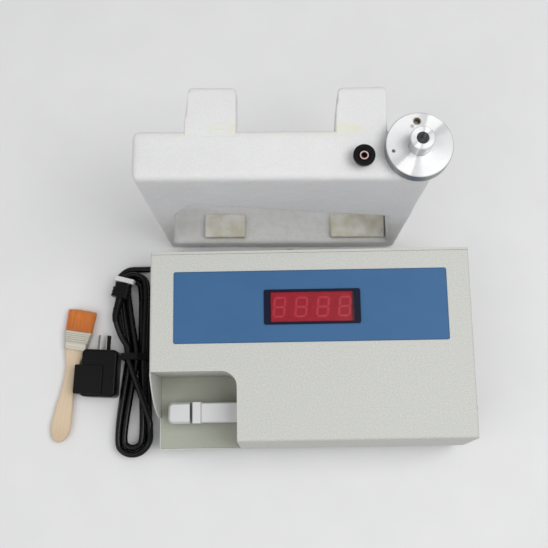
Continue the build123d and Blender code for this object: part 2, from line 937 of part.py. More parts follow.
def make_board_spacers():
    """Spacers that carry the main board on the tray."""
    x0 = main_board_left + board_hole_inset
    y0 = main_board_front + board_hole_inset
    x1 = main_board_left + main_board_width - board_hole_inset
    y1 = main_board_front + main_board_depth - board_hole_inset
    places = [(x, y) for x in (x0, x1) for y in (y0, y1)]
    return group([rod_z(x, y, tray_floor, board_bottom, spacer_radius) for x, y in places])


def make_heat_sink():
    """Finned heat sink of the voltage regulator."""
    x0 = main_board_left + main_board_width - sink_width - sink_inset[0]
    y1 = main_board_front + main_board_depth - sink_inset[1]
    y0 = y1 - sink_depth
    sink = block(x0, x0 + sink_width, y0, y0 + sink_base, board_top, board_top + sink_height)
    pitch = (sink_width - sink_fin) / (sink_fin_count - 1)
    for index in range(sink_fin_count):
        x = x0 + index * pitch
        sink += block(x, x + sink_fin, y0 + sink_base, y1, board_top, board_top + sink_height)
    return sink


def make_board_parts():
    """Smoothing capacitors and chips on the main board."""
    parts = []
    capacitor_y = main_board_front + main_board_depth - capacitor_setback
    for x in capacitor_places:
        top = board_top + capacitor_height
        parts.append(rod_z(main_board_left + x, capacitor_y, board_top, top, capacitor_radius))
    for x, y, width, depth in chip_places:
        x0 = main_board_left + x
        y0 = main_board_front + y
        parts.append(block(x0, x0 + width, y0, y0 + depth, board_top, board_top + chip_height))
    return group(parts)


def make_terminal_block():
    """Screw terminals at the board's right end."""
    x1 = main_board_left + main_board_width - terminal_inset[0]
    x0 = x1 - terminal_depth
    y0 = main_board_front + terminal_inset[1]
    body = block(x0, x1, y0, y0 + terminal_width, board_top, board_top + terminal_height)
    pitch = terminal_width / terminal_ways
    for index in range(terminal_ways):
        y = y0 + (index + 0.5) * pitch
        top = board_top + terminal_height
        body -= rod_z(x0 + terminal_depth / 2, y, top - terminal_hole_depth, top + 1, pitch / 3)
    return body


def make_transformer_core():
    """Stacked core with two windows and its foot."""
    x1 = core_left + core_width
    y1 = core_front + core_stack
    z0 = tray_floor + core_foot
    core = block(core_left, x1, core_front, y1, z0, z0 + core_height)
    opening = (core_width - core_leg) / 2 - core_yoke
    for x in (core_left + core_yoke, x1 - core_yoke - opening):
        core -= block(x, x + opening, core_front - 1, y1 + 1, z0 + core_yoke, z0 + core_height - core_yoke)
    foot = block(core_left - core_foot_reach, x1 + core_foot_reach, core_front, y1, tray_floor, z0)
    for x in (core_left - core_foot_reach / 2, x1 + core_foot_reach / 2):
        foot -= rod_z(x, (core_front + y1) / 2, 0, z0 + 1, screw_radius)
    return core + foot


def make_transformer_winding():
    """Winding round the core's middle leg."""
    middle = core_left + core_width / 2
    half_leg = core_leg / 2 + winding_clearance
    half = core_leg / 2 + winding_wall
    z0 = tray_floor + core_foot + core_yoke + winding_clearance
    z1 = tray_floor + core_foot + core_height - core_yoke - winding_clearance
    y0 = core_front - winding_wall
    y1 = core_front + core_stack + winding_wall
    coil = block(middle - half, middle + half, y0, y1, z0, z1)
    coil = fillet(coil.edges().filter_by(Axis.Z), winding_wall / 2)
    inner_y0 = core_front - winding_clearance
    inner_y1 = core_front + core_stack + winding_clearance
    return coil - block(middle - half_leg, middle + half_leg, inner_y0, inner_y1, z0 - 1, z1 + 1)


# ------------------------------------------------------------------ back panel fittings
def make_switch_housing():
    """Rocker switch frame, open at the back of the case."""
    x = switch_x
    z = fitting_height
    body = block(
        x - switch_body_width / 2,
        x + switch_body_width / 2,
        back_y - switch_body_depth,
        back_y,
        z - switch_body_height / 2,
        z + switch_body_height / 2,
    )
    body += block(
        x - switch_flange_width / 2,
        x + switch_flange_width / 2,
        back_y,
        back_y + switch_flange,
        z - switch_flange_height / 2,
        z + switch_flange_height / 2,
    )
    return body - block(
        x - switch_body_width / 2 + switch_wall,
        x + switch_body_width / 2 - switch_wall,
        back_y - switch_body_depth / 2,
        back_y + switch_flange + 1,
        z - switch_body_height / 2 + switch_wall,
        z + switch_body_height / 2 - switch_wall,
    )


def make_switch_rocker():
    """Rocker, tilted to its off side about its pivot."""
    reach = rocker_reach
    outline = [
        (rocker_rise, -reach),
        (rocker_dip, 0.0),
        (rocker_rise, reach),
        (-rocker_depth / 2, reach - rocker_taper),
        (-rocker_depth, 0.0),
        (-rocker_depth / 2, rocker_taper - reach),
    ]
    width = switch_body_width - 2 * switch_wall - 2 * rocker_clearance
    return Pos(switch_x, back_y, fitting_height) * Rot(rocker_tilt, 0, 0) * along_x(outline, width)


def make_fuse_holder():
    """Fuse holder through the back panel."""
    y0 = back_y - fuse_tube_length
    body = rod_y(fuse_x, y0, back_y, fitting_height, fuse_tube_radius)
    body += rod_y(fuse_x, back_y, back_y + fuse_flange, fitting_height, fuse_flange_radius)
    mouth = back_y + fuse_flange
    bore = fuse_stem_radius + running_fit
    return body - rod_y(fuse_x, mouth - fuse_bore_length, mouth + 1, fitting_height, bore)


def make_fuse_cap():
    """Fuse cap with a coin slot."""
    seat = back_y + fuse_flange + fuse_cap_gap
    head = rod_y(fuse_x, seat, seat + fuse_cap_length, fitting_height, fuse_cap_radius)
    slot = block(
        fuse_x - fuse_cap_radius,
        fuse_x + fuse_cap_radius,
        seat + fuse_cap_length - fuse_slot_depth,
        seat + fuse_cap_length + 1,
        fitting_height - fuse_slot_width / 2,
        fitting_height + fuse_slot_width / 2,
    )
    return head + rod_y(fuse_x, seat - fuse_stem_length, seat, fitting_height, fuse_stem_radius) - slot


def make_cord_gland():
    """Snap-in bushing that grips the mains lead."""
    body = rod_y(gland_x, back_y - gland_inside, back_y, gland_height, gland_radius)
    flange = rod_y(gland_x, back_y, back_y + gland_flange, gland_height, gland_flange_radius)
    return body + chamfer(flange.edges().group_by(Axis.Y)[-1], gland_edge)


# ------------------------------------------------------------------ foam end cap
def on_foam(piece):
    """Turns a piece drawn in the foam's own frame to where the foam stands."""
    return Pos(foam_left, foam_front, 0) * Rot(0, 0, foam_yaw) * piece


def make_foam_frame():
    """Foam frame on edge, with the window that takes the tester's side."""
    frame = block(0, foam_width, 0, foam_thickness, 0, foam_height)
    frame = fillet(frame.edges(), foam_edge)
    outline = [
        (window_foot_left, window_sill),
        window_shoulder,
        window_peak,
        window_right_top,
        (window_foot_right, window_sill),
    ]
    face = make_face(Polyline(*[(x, -1, z) for x, z in outline], close=True))
    window = extrude(face, foam_thickness + 2, dir=(0, 1, 0))
    upper = [edge for edge in window.edges().filter_by(Axis.Y) if edge.center().Z > window_sill + foam_edge]
    window = fillet(upper, window_corner)
    return on_foam(frame - window)


def make_foam_bars():
    """Two short bars glued on the frame's back at its top, a little wider where they are glued."""
    bars = []
    y0 = foam_thickness
    flare = foam_bar_front_width - foam_bar_back_width
    for x in bar_places:
        outline = [
            (x - flare, y0),
            (x + foam_bar_back_width, y0),
            (x + foam_bar_back_width, y0 + foam_bar_depth),
            (x, y0 + foam_bar_depth),
        ]
        bar = slab(outline, foam_bar_height, foam_height - foam_bar_height)
        outer = [edge for edge in bar.edges() if edge.center().Y > y0 + foam_bar_depth - 0.1]
        bars.append(fillet(outer, foam_edge))
    return on_foam(group(bars))


def make_foam_pads():
    """Two low pads glued on the window's sill."""
    pads = []
    for x, width in foam_pad_places:
        y1 = foam_pad_setback + foam_pad_depth
        pad = block(x, x + width, foam_pad_setback, y1, window_sill, window_sill + foam_pad_height)
        pads.append(chamfer(pad.edges().group_by(Axis.Z)[-1], foam_pad_edge))
    return on_foam(group(pads))


# ------------------------------------------------------------------ hand wheel and crank knob
def around(orbit, angle):
    """A place on a circle, by its angle in degrees."""
    return orbit * math.cos(math.radians(angle)), orbit * math.sin(math.radians(angle))


def make_hand_wheel():
    """Turned wheel with its hub, bore, crank hole and pin hole, lying hub up on the foam."""
    wheel = rod_z(0, 0, 0, wheel_rim, wheel_radius)
    wheel = chamfer(wheel.edges().filter_by(GeomType.CIRCLE), wheel_edge)
    hub = rod_z(0, 0, wheel_rim, wheel_length, wheel_hub_radius)
    wheel += chamfer(hub.edges().group_by(Axis.Z)[-1], wheel_edge)
    wheel -= rod_z(0, 0, -1, wheel_length + 1, wheel_bore_radius)
    crank_x, crank_y = around(crank_hole_orbit, crank_hole_angle)
    wheel -= rod_z(crank_x, crank_y, -1, wheel_rim + 1, crank_hole_radius)
    pin_x, pin_y = around(pin_hole_orbit, pin_hole_angle)
    wheel -= rod_z(pin_x, pin_y, wheel_rim - pin_hole_depth, wheel_rim + 1, pin_hole_radius)
    wheel -= rod_x(0, wheel_hub_radius + 1, 0, wheel_rim + wheel_hub / 2, set_screw_radius)
    return on_foam(Pos(wheel_x, wheel_setback, foam_height) * wheel)


def make_crank_knob():
    """Tapered knob with a recess round its insert."""
    outline = [
        (0, 0),
        (knob_foot_radius, 0),
        (knob_radius, knob_height - knob_rim),
        (knob_radius, knob_height),
        (knob_recess_radius, knob_height),
        (insert_radius + fixed_fit, knob_height - knob_recess_depth),
        (insert_radius + fixed_fit, knob_height - insert_length),
        (0, knob_height - insert_length),
    ]
    face = make_face(Polyline(*[(x, 0, z) for x, z in outline], close=True))
    return on_foam(Pos(knob_x, knob_setback, foam_height) * revolve(face, Axis.Z))


def make_knob_insert():
    """Brass threaded insert in the knob."""
    z0 = knob_height - insert_length
    top = knob_height - knob_recess_depth / 2
    insert = rod_z(0, 0, z0, top, insert_radius)
    insert -= rod_z(0, 0, z0 + insert_floor, top + 1, insert_bore_radius)
    return on_foam(Pos(knob_x, knob_setback, foam_height) * insert)


# ------------------------------------------------------------------ brush
def on_brush(piece):
    """Turns a piece drawn along +X from the bristle tips to where the brush lies."""
    height = ferrule_thickness / 2 + ridge_height
    return Pos(brush_tip[0], brush_tip[1], height) * Rot(0, 0, brush_heading) * piece


def strand(row, column):
    """One bristle: a square strand that leans out a little towards its tip."""
    y = ((column + 0.5) / bristle_columns - 0.5) * (bristle_width - strand_width)
    z = ((row + 0.5) / bristle_rows - 0.5) * (bristle_thickness - strand_width)
    start = bristle_length - bristle_root
    tip = 2.0 * ((row + column) % 2) * strand_width
    root_square = square_at(start, y, z, strand_width)
    tip_square = square_at(tip, y * strand_splay, z * strand_splay, strand_width / 2)
    sides = [
        (root_square[i], root_square[i - 1], tip_square[i - 1], tip_square[i])
        for i in range(len(root_square))
    ]
    outlines = [root_square, tip_square, *sides]
    return Solid(Shell([make_face(Polyline(*outline, close=True)) for outline in outlines]))


def square_at(x, y, z, width):
    """Corners of a square across the brush."""
    half = width / 2
    return [(x, y - half, z - half), (x, y + half, z - half), (x, y + half, z + half), (x, y - half, z + half)]


def make_brush_bristles():
    """Bristles fused to the slice of glue that holds them in the ferrule."""
    slice_start = bristle_length - bristle_root
    slice_end = bristle_length + bristle_root
    width = bristle_width / 2
    thickness = bristle_thickness / 2
    root = block(slice_start, slice_end, -width, width, -thickness, thickness)
    strands = [strand(row, column) for row in range(bristle_rows) for column in range(bristle_columns)]
    return on_brush(root.fuse(*strands))


def make_brush_ferrule():
    """Flattened tinplate sleeve with its pressed ridges."""
    x0 = bristle_length
    x1 = bristle_length + ferrule_length
    outer = loft([ferrule_section(x0, 0.0), ferrule_section(x1, 0.0)], ruled=True)
    rise = ferrule_thickness / 2 + ridge_height
    for place in ridge_places:
        half = ferrule_width(place) / 2 - ridge_inset
        outer += block(x0 + place, x0 + place + ridge_width, -half, half, -rise, rise)
    ends = [ferrule_section(x0 - 1, ferrule_sheet), ferrule_section(x1 + 1, ferrule_sheet)]
    inner = loft(ends, ruled=True)
    return on_brush(outer - inner)


def ferrule_width(along):
    """Width of the ferrule at a distance from its wide end."""
    return ferrule_wide + (ferrule_narrow - ferrule_wide) * along / ferrule_length


def ferrule_section(x, inset):
    """Cross-section of the ferrule at a distance from the bristle tips."""
    width = ferrule_width(x - bristle_length) - 2 * inset
    return Plane.YZ.offset(x) * Rectangle(width, ferrule_thickness - 2 * inset)


def make_brush_handle():
    """Flat wooden handle: shoulder, neck, waist, belly and a rounded end."""
    start = bristle_length + ferrule_length - handle_tongue
    end = bristle_length + ferrule_length
    tongue = ferrule_narrow / 2 - ferrule_sheet - handle_fit
    side = [(end, tongue), *[(x, width / 2) for x, width in handle_side], (brush_length, 0)]
    upper = Spline(*side, tangents=[(1, 0), (0, -1)])
    lower = Spline(*[(x, -y) for x, y in side], tangents=[(1, 0), (0, 1)])
    base = Polyline((end, -tongue), (start, -tongue), (start, tongue), (end, tongue))
    blank = extrude(make_face([upper, lower, base]), handle_thickness)
    return on_brush(Pos(0, 0, -handle_thickness / 2) * blank)


# ------------------------------------------------------------------ travel adapter
def on_adapter(piece):
    """Turns a piece drawn round the adapter's centre to where the adapter lies."""
    return Pos(adapter_centre[0], adapter_centre[1], 0) * Rot(0, 0, adapter_turn) * piece


def make_adapter_body():
    """Moulded adapter with a raised block and outlet slots."""
    x = adapter_width / 2
    y = adapter_length / 2
    body = block(-x, x, -y, y, 0, adapter_height)
    body = fillet(body.edges().filter_by(Axis.Z), adapter_edge)
    body = fillet(body.edges().group_by(Axis.Z)[-1], adapter_edge / 2)
    raised = block(*adapter_block, 0, adapter_block_height)
    raised = fillet(raised.edges().filter_by(Axis.Z), adapter_block_edge)
    body += fillet(raised.edges().group_by(Axis.Z)[-1], adapter_block_edge / 2)
    width, height = outlet_slot
    for side in (-1, 1):
        centre = side * outlet_spacing / 2
        z0 = adapter_height / 2 - height / 2
        body -= block(centre - width / 2, centre + width / 2, -y - 1, -y + outlet_depth, z0, z0 + height)
    for side in (-1, 1):
        body -= blade(side, pin_fit)
    return on_adapter(body)


def blade(side, clearance):
    """One flat blade at the adapter's front, with a clearance all round."""
    half = blade_thickness / 2 + clearance
    root = adapter_length / 2 - blade_root - clearance
    tip = adapter_length / 2 + blade_length
    rise = blade_height / 2 + clearance
    upright = block(-half, half, root, tip, -rise, rise)
    centre = blade_centre + side * blade_spacing / 2
    return Pos(centre, 0, adapter_height / 2) * Rot(0, -side * blade_lean, 0) * upright


def make_adapter_blades():
    """Two flat blades."""
    return on_adapter(group([blade(side, 0.0) for side in (-1, 1)]))


# ------------------------------------------------------------------ mains lead
def corner_radii(points):
    """Largest tangent arc at each corner that takes its share of the shorter run beside it."""
    radii = []
    for before, corner, after in zip(points, points[1:], points[2:]):
        first = Vector(*corner) - Vector(*before)
        second = Vector(*after) - Vector(*corner)
        turn = math.radians(first.get_angle(second))
        radii.append(corner_share * min(first.length, second.length) / math.tan(turn / 2))
    return radii


def cord_tube(name, points):
    """A cord along straight runs joined by tangent arcs, with its facts printed."""
    radii = corner_radii(points)
    path = FilletPolyline(*points, radius=radii)
    start = Plane(origin=path @ 0, z_dir=path % 0)
    tube = sweep(start * Circle(cord_radius), path=path)
    expected = math.pi * cord_radius**2 * path.length
    print(name, "length", round(path.length, 1), "volume share", round(tube.volume / expected, 4))
    print(name, "radii", [round(radius, 1) for radius in radii])
    return tube, path


def self_gap(path, apart, count=1500):
    """Least gap of a cord to itself between points that lie apart along it."""
    points = [path @ (index / count) for index in range(count + 1)]
    skip = math.ceil(apart / path.length * count)
    least = min(
        (points[i] - points[j]).length for i in range(count + 1) for j in range(i + skip, count + 1, 2)
    )
    return least - cord_diameter


def axis_x(y):
    """The hank's middle line in plan: two lobes that meet at the tied waist."""
    if y > hank_waist_y:
        share = (y - hank_waist_y) / (hank_top_y - hank_waist_y)
        return hank_waist_x + share * (hank_top_x - hank_waist_x)
    share = (hank_waist_y - y) / (hank_waist_y - hank_bottom_y)
    return hank_waist_x + share * (hank_bottom_x - hank_waist_x)


def steps_in(turn):
    """How many pitches the winding has stepped inwards, in and then out again."""
    return min(turn, 3.5 - turn)


def fold_place(index):
    """Corner of a fold, across and along the hank, as shares of the fold's radius."""
    angle = math.radians((1.5 - index) * fold_corner)
    reach = 1 / math.cos(math.radians(fold_corner / 2))
    return reach * math.sin(angle), reach * math.cos(angle)


def fold(turn, upper, z_values):
    """Four corners of the half turn at one end, from left to right at the bottom."""
    centre_y = hank_top_y if upper else hank_bottom_y
    away = 1 if upper else -1
    side = 1 if upper else -1
    corners = []
    for index in range(4):
        radius = fold_radius + cord_pitch * (1.75 - steps_in(turn + (index - 1.5) * 0.06))
        across, along = fold_place(index)
        x = axis_x(centre_y) + side * across * radius
        corners.append((x, centre_y + away * along * radius, z_values[index]))
    return corners


def waist(turn, z):
    """Where the winding goes straight through the tied waist, down on the left and up on the right."""
    offset = cord_pitch * (1.75 - steps_in(turn))
    side = -1 if turn % 1 < 0.25 else 1
    x = hank_waist_x + side * offset
    return [(x, hank_waist_y - side * waist_length / 2, z), (x, hank_waist_y + side * waist_length / 2, z)]


def hank_points():
    """The hank's route: two layers of loops, in and out, then across the top to the waist."""
    low, high, over = hank_layer
    start_radius = fold_radius + cord_pitch * (1.75 + 0.25)
    top_x = axis_x(hank_top_y)
    points = [(top_x + cord_diameter, hank_top_y + start_radius, low)]
    for index in (2, 3):
        across, along = fold_place(index)
        points.append((top_x + across * start_radius, hank_top_y + along * start_radius, low))
    turn = 0.0
    while turn < hank_turns:
        layer = low if turn < 1.75 else high
        points += waist(turn, layer)
        upper = turn % 1 > 0.25
        climbing = abs(turn - 1.5) < 0.01
        rise = (low, low + cord_pitch / 3, high - cord_pitch / 3, high) if climbing else (layer,) * 4
        points += fold(turn + 0.25, upper, rise)
        turn += 0.5
    last = points[-1]
    left = waist(0.0, over)[0][0] + cord_pitch / 3
    points.append((last[0] + 0.3, last[1] + crossing_rise, over))
    points.append((last[0] + 0.1, last[1] + crossing_start, over))
    points.append((left, hank_waist_y - waist_length / 2, over))
    points.append((left, hank_waist_y + waist_length / 2, over))
    return points


def lead_points():
    """The free stretch from the gland, down behind the case and round to the hank."""
    start_radius = fold_radius + cord_pitch * 2.0
    end_x = axis_x(hank_top_y) + cord_diameter
    end_y = hank_top_y + start_radius
    low = hank_layer[0]
    out = back_y + gland_flange
    return [
        (gland_x, out, gland_height),
        (gland_x, out + lead_exit, gland_height),
        *lead_route,
        (end_x + lead_entry, end_y, low),
        (end_x, end_y, low),
    ]


def plug_point(along, z=0.0):
    """A place on the plug's axis, measured back from the front of its pin guard."""
    across, up = around(along, plug_heading)
    return (plug_front[0] - across, plug_front[1] - up, z)


def plug_height():
    """Height of the plug's axis, where it lies on the hank."""
    return hank_layer[1] + cord_radius + plug_seat + plug_grip[2] / 2


def tail_points():
    """The free stretch from the waist up to the plug."""
    start = hank_points()[-1]
    before = hank_points()[-2]
    step = Vector(*start) - Vector(*before)
    step = step.normalized() * cord_diameter
    plug_end = guard_length + pin_gap + plug_length
    end = plug_point(plug_end, plug_height())
    aim = plug_point(plug_end + tail_entry, plug_height())
    return [
        start,
        (start[0] + step.X, start[1] + step.Y, start[2]),
        *tail_route,
        aim,
        end,
    ]


def on_plug(piece):
    """Turns a piece drawn along +X towards the pins, with X = 0 at the guard's front."""
    return Pos(plug_front[0], plug_front[1], plug_height()) * Rot(0, 0, plug_heading) * piece


def plug_bar(front, length, width, height):
    """Rounded bar of the plug's moulding, from its front backwards."""
    outline = RectangleRounded(width, height, min(width, height) * plug_rounding)
    return extrude(Plane.YZ.offset(front - length) * outline, length)


def make_plug_body():
    """Moulded plug: neck, ribbed grip and the tapered relief round its cord."""
    front = -guard_length - pin_gap
    length, width, height = plug_grip
    body = plug_bar(front, *plug_neck)
    grip_front = front - plug_neck[0]
    body += plug_bar(grip_front, length, width - 2 * groove_sink, height - 2 * groove_sink)
    rib = (length - plug_grooves * groove_gap) / (plug_grooves + 1)
    for index in range(plug_grooves + 1):
        body += plug_bar(grip_front - index * (rib + groove_gap), rib, width, height)
    relief_front = grip_front - length
    relief_end = relief_front - plug_relief_length
    outline = [
        (relief_front, 0),
        (relief_front, plug_relief_radius),
        (relief_end, cord_radius + groove_sink),
        (relief_end, 0),
    ]
    body += revolve(make_face(Polyline(*[(x, y, 0) for x, y in outline], close=True)), Axis.X)
    for side in (-1, 1):
        body -= plug_pin(side, pin_fit)
    return on_plug(body)


def plug_pin(side, clearance):
    """One round pin, with a clearance all round."""
    tip = -guard_length / 3
    start = tip - pin_length - clearance
    return rod_x(start, tip + clearance, side * pin_spacing / 2, 0, pin_radius + clearance)


def make_plug_pins():
    """Two round pins."""
    return on_plug(group([plug_pin(side, 0.0) for side in (-1, 1)]))


def make_plug_pin_guard():
    """White guard pushed over the pins' tips."""
    guard = block(-guard_length, 0, -guard_width / 2, guard_width / 2, -guard_height / 2, guard_height / 2)
    guard = fillet(guard.edges().filter_by(Axis.X), guard_edge)
    for side in (-1, 1):
        guard -= plug_pin(side, pin_fit)
    return on_plug(guard)


def make_cord_tie():
    """Tie that draws the hank in at its waist."""
    left = waist(0.0, 0)[0][0] - cord_radius - tie_clearance
    right = waist(0.5, 0)[0][0] + cord_radius + tie_clearance
    right_top = hank_layer[1] + cord_radius + tie_clearance
    left_top = hank_layer[2] + cord_radius + tie_clearance
    bottom = cord_floor - tie_clearance / 2
    middle = hank_waist_x
    inner = [(left, bottom), (right, bottom), (right, right_top), (middle, left_top), (left, left_top)]
    face = make_face(Polyline(*[(x, 0, z) for x, z in inner], close=True))
    hole = extrude(face, tie_width + 2, dir=(0, 1, 0))
    ring_face = offset(face, tie_thickness)
    ring = extrude(ring_face, tie_width, dir=(0, 1, 0))
    return Pos(0, hank_waist_y - tie_width / 2, 0) * (ring - Pos(0, -1, 0) * hole)


def write(name, piece):
    """Writes one node."""
    export_step(piece, os.path.join("parts", name + ".step"))


def main():
    os.makedirs("parts", exist_ok=True)
    makers = {
        "base_tray": make_base_tray,
        "rubber_feet": make_rubber_feet,
        "recess_supports": make_recess_supports,
        "recess_liner": make_recess_liner,
        "top_cover": make_top_cover,
        "back_panel": make_back_panel,
        "cover_screws": make_cover_screws,
        "front_label": make_front_label,
        "display_bezel": make_display_bezel,
        "display_filter": make_display_filter,
        "display_digits": make_display_digits,
        "display_board": make_display_board,
        "display_spacers": make_display_spacers,
        "fixed_jaw": make_fixed_jaw,
        "jaw_screws": make_jaw_screws,
        "load_cell": make_load_cell,
        "load_cell_block": make_load_cell_block,
        "plunger_pad": make_plunger_pad,
        "plunger_bar": make_plunger_bar,
        "carriage": make_carriage,
        "carriage_bushes": make_carriage_bushes,
        "drive_nut": make_drive_nut,
        "lead_screw": make_lead_screw,
        "thrust_collars": make_thrust_collars,
        "guide_rods": make_guide_rods,
        "guide_block": make_guide_block,
        "bearing_block": make_bearing_block,
        "bearing_outer_rings": make_bearing_outer_rings,
        "bearing_inner_rings": make_bearing_inner_rings,
        "side_bush": make_side_bush,
        "main_board": make_main_board,
        "board_spacers": make_board_spacers,
        "heat_sink": make_heat_sink,
        "board_parts": make_board_parts,
        "terminal_block": make_terminal_block,
        "transformer_core": make_transformer_core,
        "transformer_winding": make_transformer_winding,
        "switch_housing": make_switch_housing,
        "switch_rocker": make_switch_rocker,
        "fuse_holder": make_fuse_holder,
        "fuse_cap": make_fuse_cap,
        "cord_gland": make_cord_gland,
        "foam_frame": make_foam_frame,
        "foam_bars": make_foam_bars,
        "foam_pads": make_foam_pads,
        "hand_wheel": make_hand_wheel,
        "crank_knob": make_crank_knob,
        "knob_insert": make_knob_insert,
        "brush_bristles": make_brush_bristles,
        "brush_ferrule": make_brush_ferrule,
        "brush_handle": make_brush_handle,
        "adapter_body": make_adapter_body,
        "adapter_blades": make_adapter_blades,
        "cord_tie": make_cord_tie,
        "plug_body": make_plug_body,
        "plug_pins": make_plug_pins,
        "plug_pin_guard": make_plug_pin_guard,
    }
    for name, maker in makers.items():
        write(name, maker())
    lead, _ = cord_tube("cord_lead", lead_points())
    hank, route = cord_tube("cord_hank", hank_points())
    tail, _ = cord_tube("cord_tail", tail_points())
    print("cord_hank least gap to itself", round(self_gap(route, 4 * cord_diameter), 2))
    write("cord_lead", lead)
    write("cord_hank", hank)
    write("cord_tail", tail)


main()
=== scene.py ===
import json
import math
import random
import bmesh
import bpy
from mathutils import Matrix, Vector, noise


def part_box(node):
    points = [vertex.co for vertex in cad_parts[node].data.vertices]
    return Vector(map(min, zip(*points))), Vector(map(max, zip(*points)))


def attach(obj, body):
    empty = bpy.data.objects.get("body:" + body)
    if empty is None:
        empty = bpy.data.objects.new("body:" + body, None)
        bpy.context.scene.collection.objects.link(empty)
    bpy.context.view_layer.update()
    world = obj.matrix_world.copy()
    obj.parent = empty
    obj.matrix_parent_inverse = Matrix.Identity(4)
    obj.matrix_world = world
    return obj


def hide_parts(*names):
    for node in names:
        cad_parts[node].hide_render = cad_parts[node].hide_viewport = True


# Looks of a tablet hardness tester and its kit. Lengths in this script are in millimetres and
# become metres where a mesh, a curve or the camera is made. Only the floor and the lamps are
# given in metres. Colours are written as they are read off a screen, 0 to 255.

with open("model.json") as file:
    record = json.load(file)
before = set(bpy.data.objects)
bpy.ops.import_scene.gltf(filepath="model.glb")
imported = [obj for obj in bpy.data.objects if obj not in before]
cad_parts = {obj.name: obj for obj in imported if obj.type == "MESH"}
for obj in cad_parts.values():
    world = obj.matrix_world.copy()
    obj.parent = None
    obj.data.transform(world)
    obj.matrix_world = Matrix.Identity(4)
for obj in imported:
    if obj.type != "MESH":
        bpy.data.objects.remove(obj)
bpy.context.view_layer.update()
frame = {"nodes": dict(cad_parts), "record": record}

MM = 0.001

# Own frames of the foam and the brush: where each stands, and its turn in degrees.
FOAM_STAND = (-150.6, 124.0, 0.0, -0.8)
BRUSH_STAND = (-244.4, 56.5, 5.5, -99.3)

# Foam, in its own frame: its back, where the bars are glued on, its top and its sill.
FOAM_BACK = 43.6
FOAM_TOP = 254.0
FOAM_SILL = 25.0

# Hand wheel: the middle of its foot, then its radius and heights over that foot.
WHEEL_CENTRE = (85.923, 145.5, 254.0)
WHEEL_RADIUS = 27.5
WHEEL_RIM = 12.0
WHEEL_HUB_TOP = 28.0
WHEEL_FACE = WHEEL_CENTRE[2] + WHEEL_RIM
WHEEL_MARKS_PER_MM = 2.5
CRANK_HOLE = (84.53, 165.45)
GREASE_SMEAR = (80.4, 161.2)
KNOB_CENTRE = (41.016, 138.126)


# ------------------------------------------------------------------ shader maths
def paint(red, green, blue):
    """A screen colour made linear."""
    shares = (red / 255, green / 255, blue / 255)
    linear = (v / 12.92 if v <= 0.04045 else ((v + 0.055) / 1.055) ** 2.4 for v in shares)
    return (*linear, 1.0)


class Field:
    """A number, vector or colour that varies over a surface; numbers take ordinary arithmetic."""

    def __init__(self, finish, socket):
        self.finish = finish
        self.socket = socket

    def math(self, operation, *values):
        return self.finish.node("ShaderNodeMath", {"operation": operation}, dict(enumerate(values)))

    def __add__(self, other):
        return self.math("ADD", self, other)

    __radd__ = __add__

    def __sub__(self, other):
        return self.math("SUBTRACT", self, other)

    def __rsub__(self, other):
        return self.math("SUBTRACT", other, self)

    def __mul__(self, other):
        return self.math("MULTIPLY", self, other)

    __rmul__ = __mul__

    def __pow__(self, other):
        return self.math("POWER", self, other)

    def most(self, other):
        """The greater of two numbers."""
        return self.math("MAXIMUM", self, other)

    def size(self):
        """The number without its sign."""
        return self.math("ABSOLUTE", self)

    def wave(self):
        """A sine wave, -1 to 1."""
        return self.math("SINE", self)

    def ripple(self):
        """A sine wave, 0 to 1."""
        return self.wave() * 0.5 + 0.5

    def fade(self, low, high):
        """0 at low, 1 at high, smooth between them."""
        values = {0: self, 1: low, 2: high, 3: 0.0, 4: 1.0}
        return self.finish.node("ShaderNodeMapRange", {"interpolation_type": "SMOOTHSTEP"}, values)


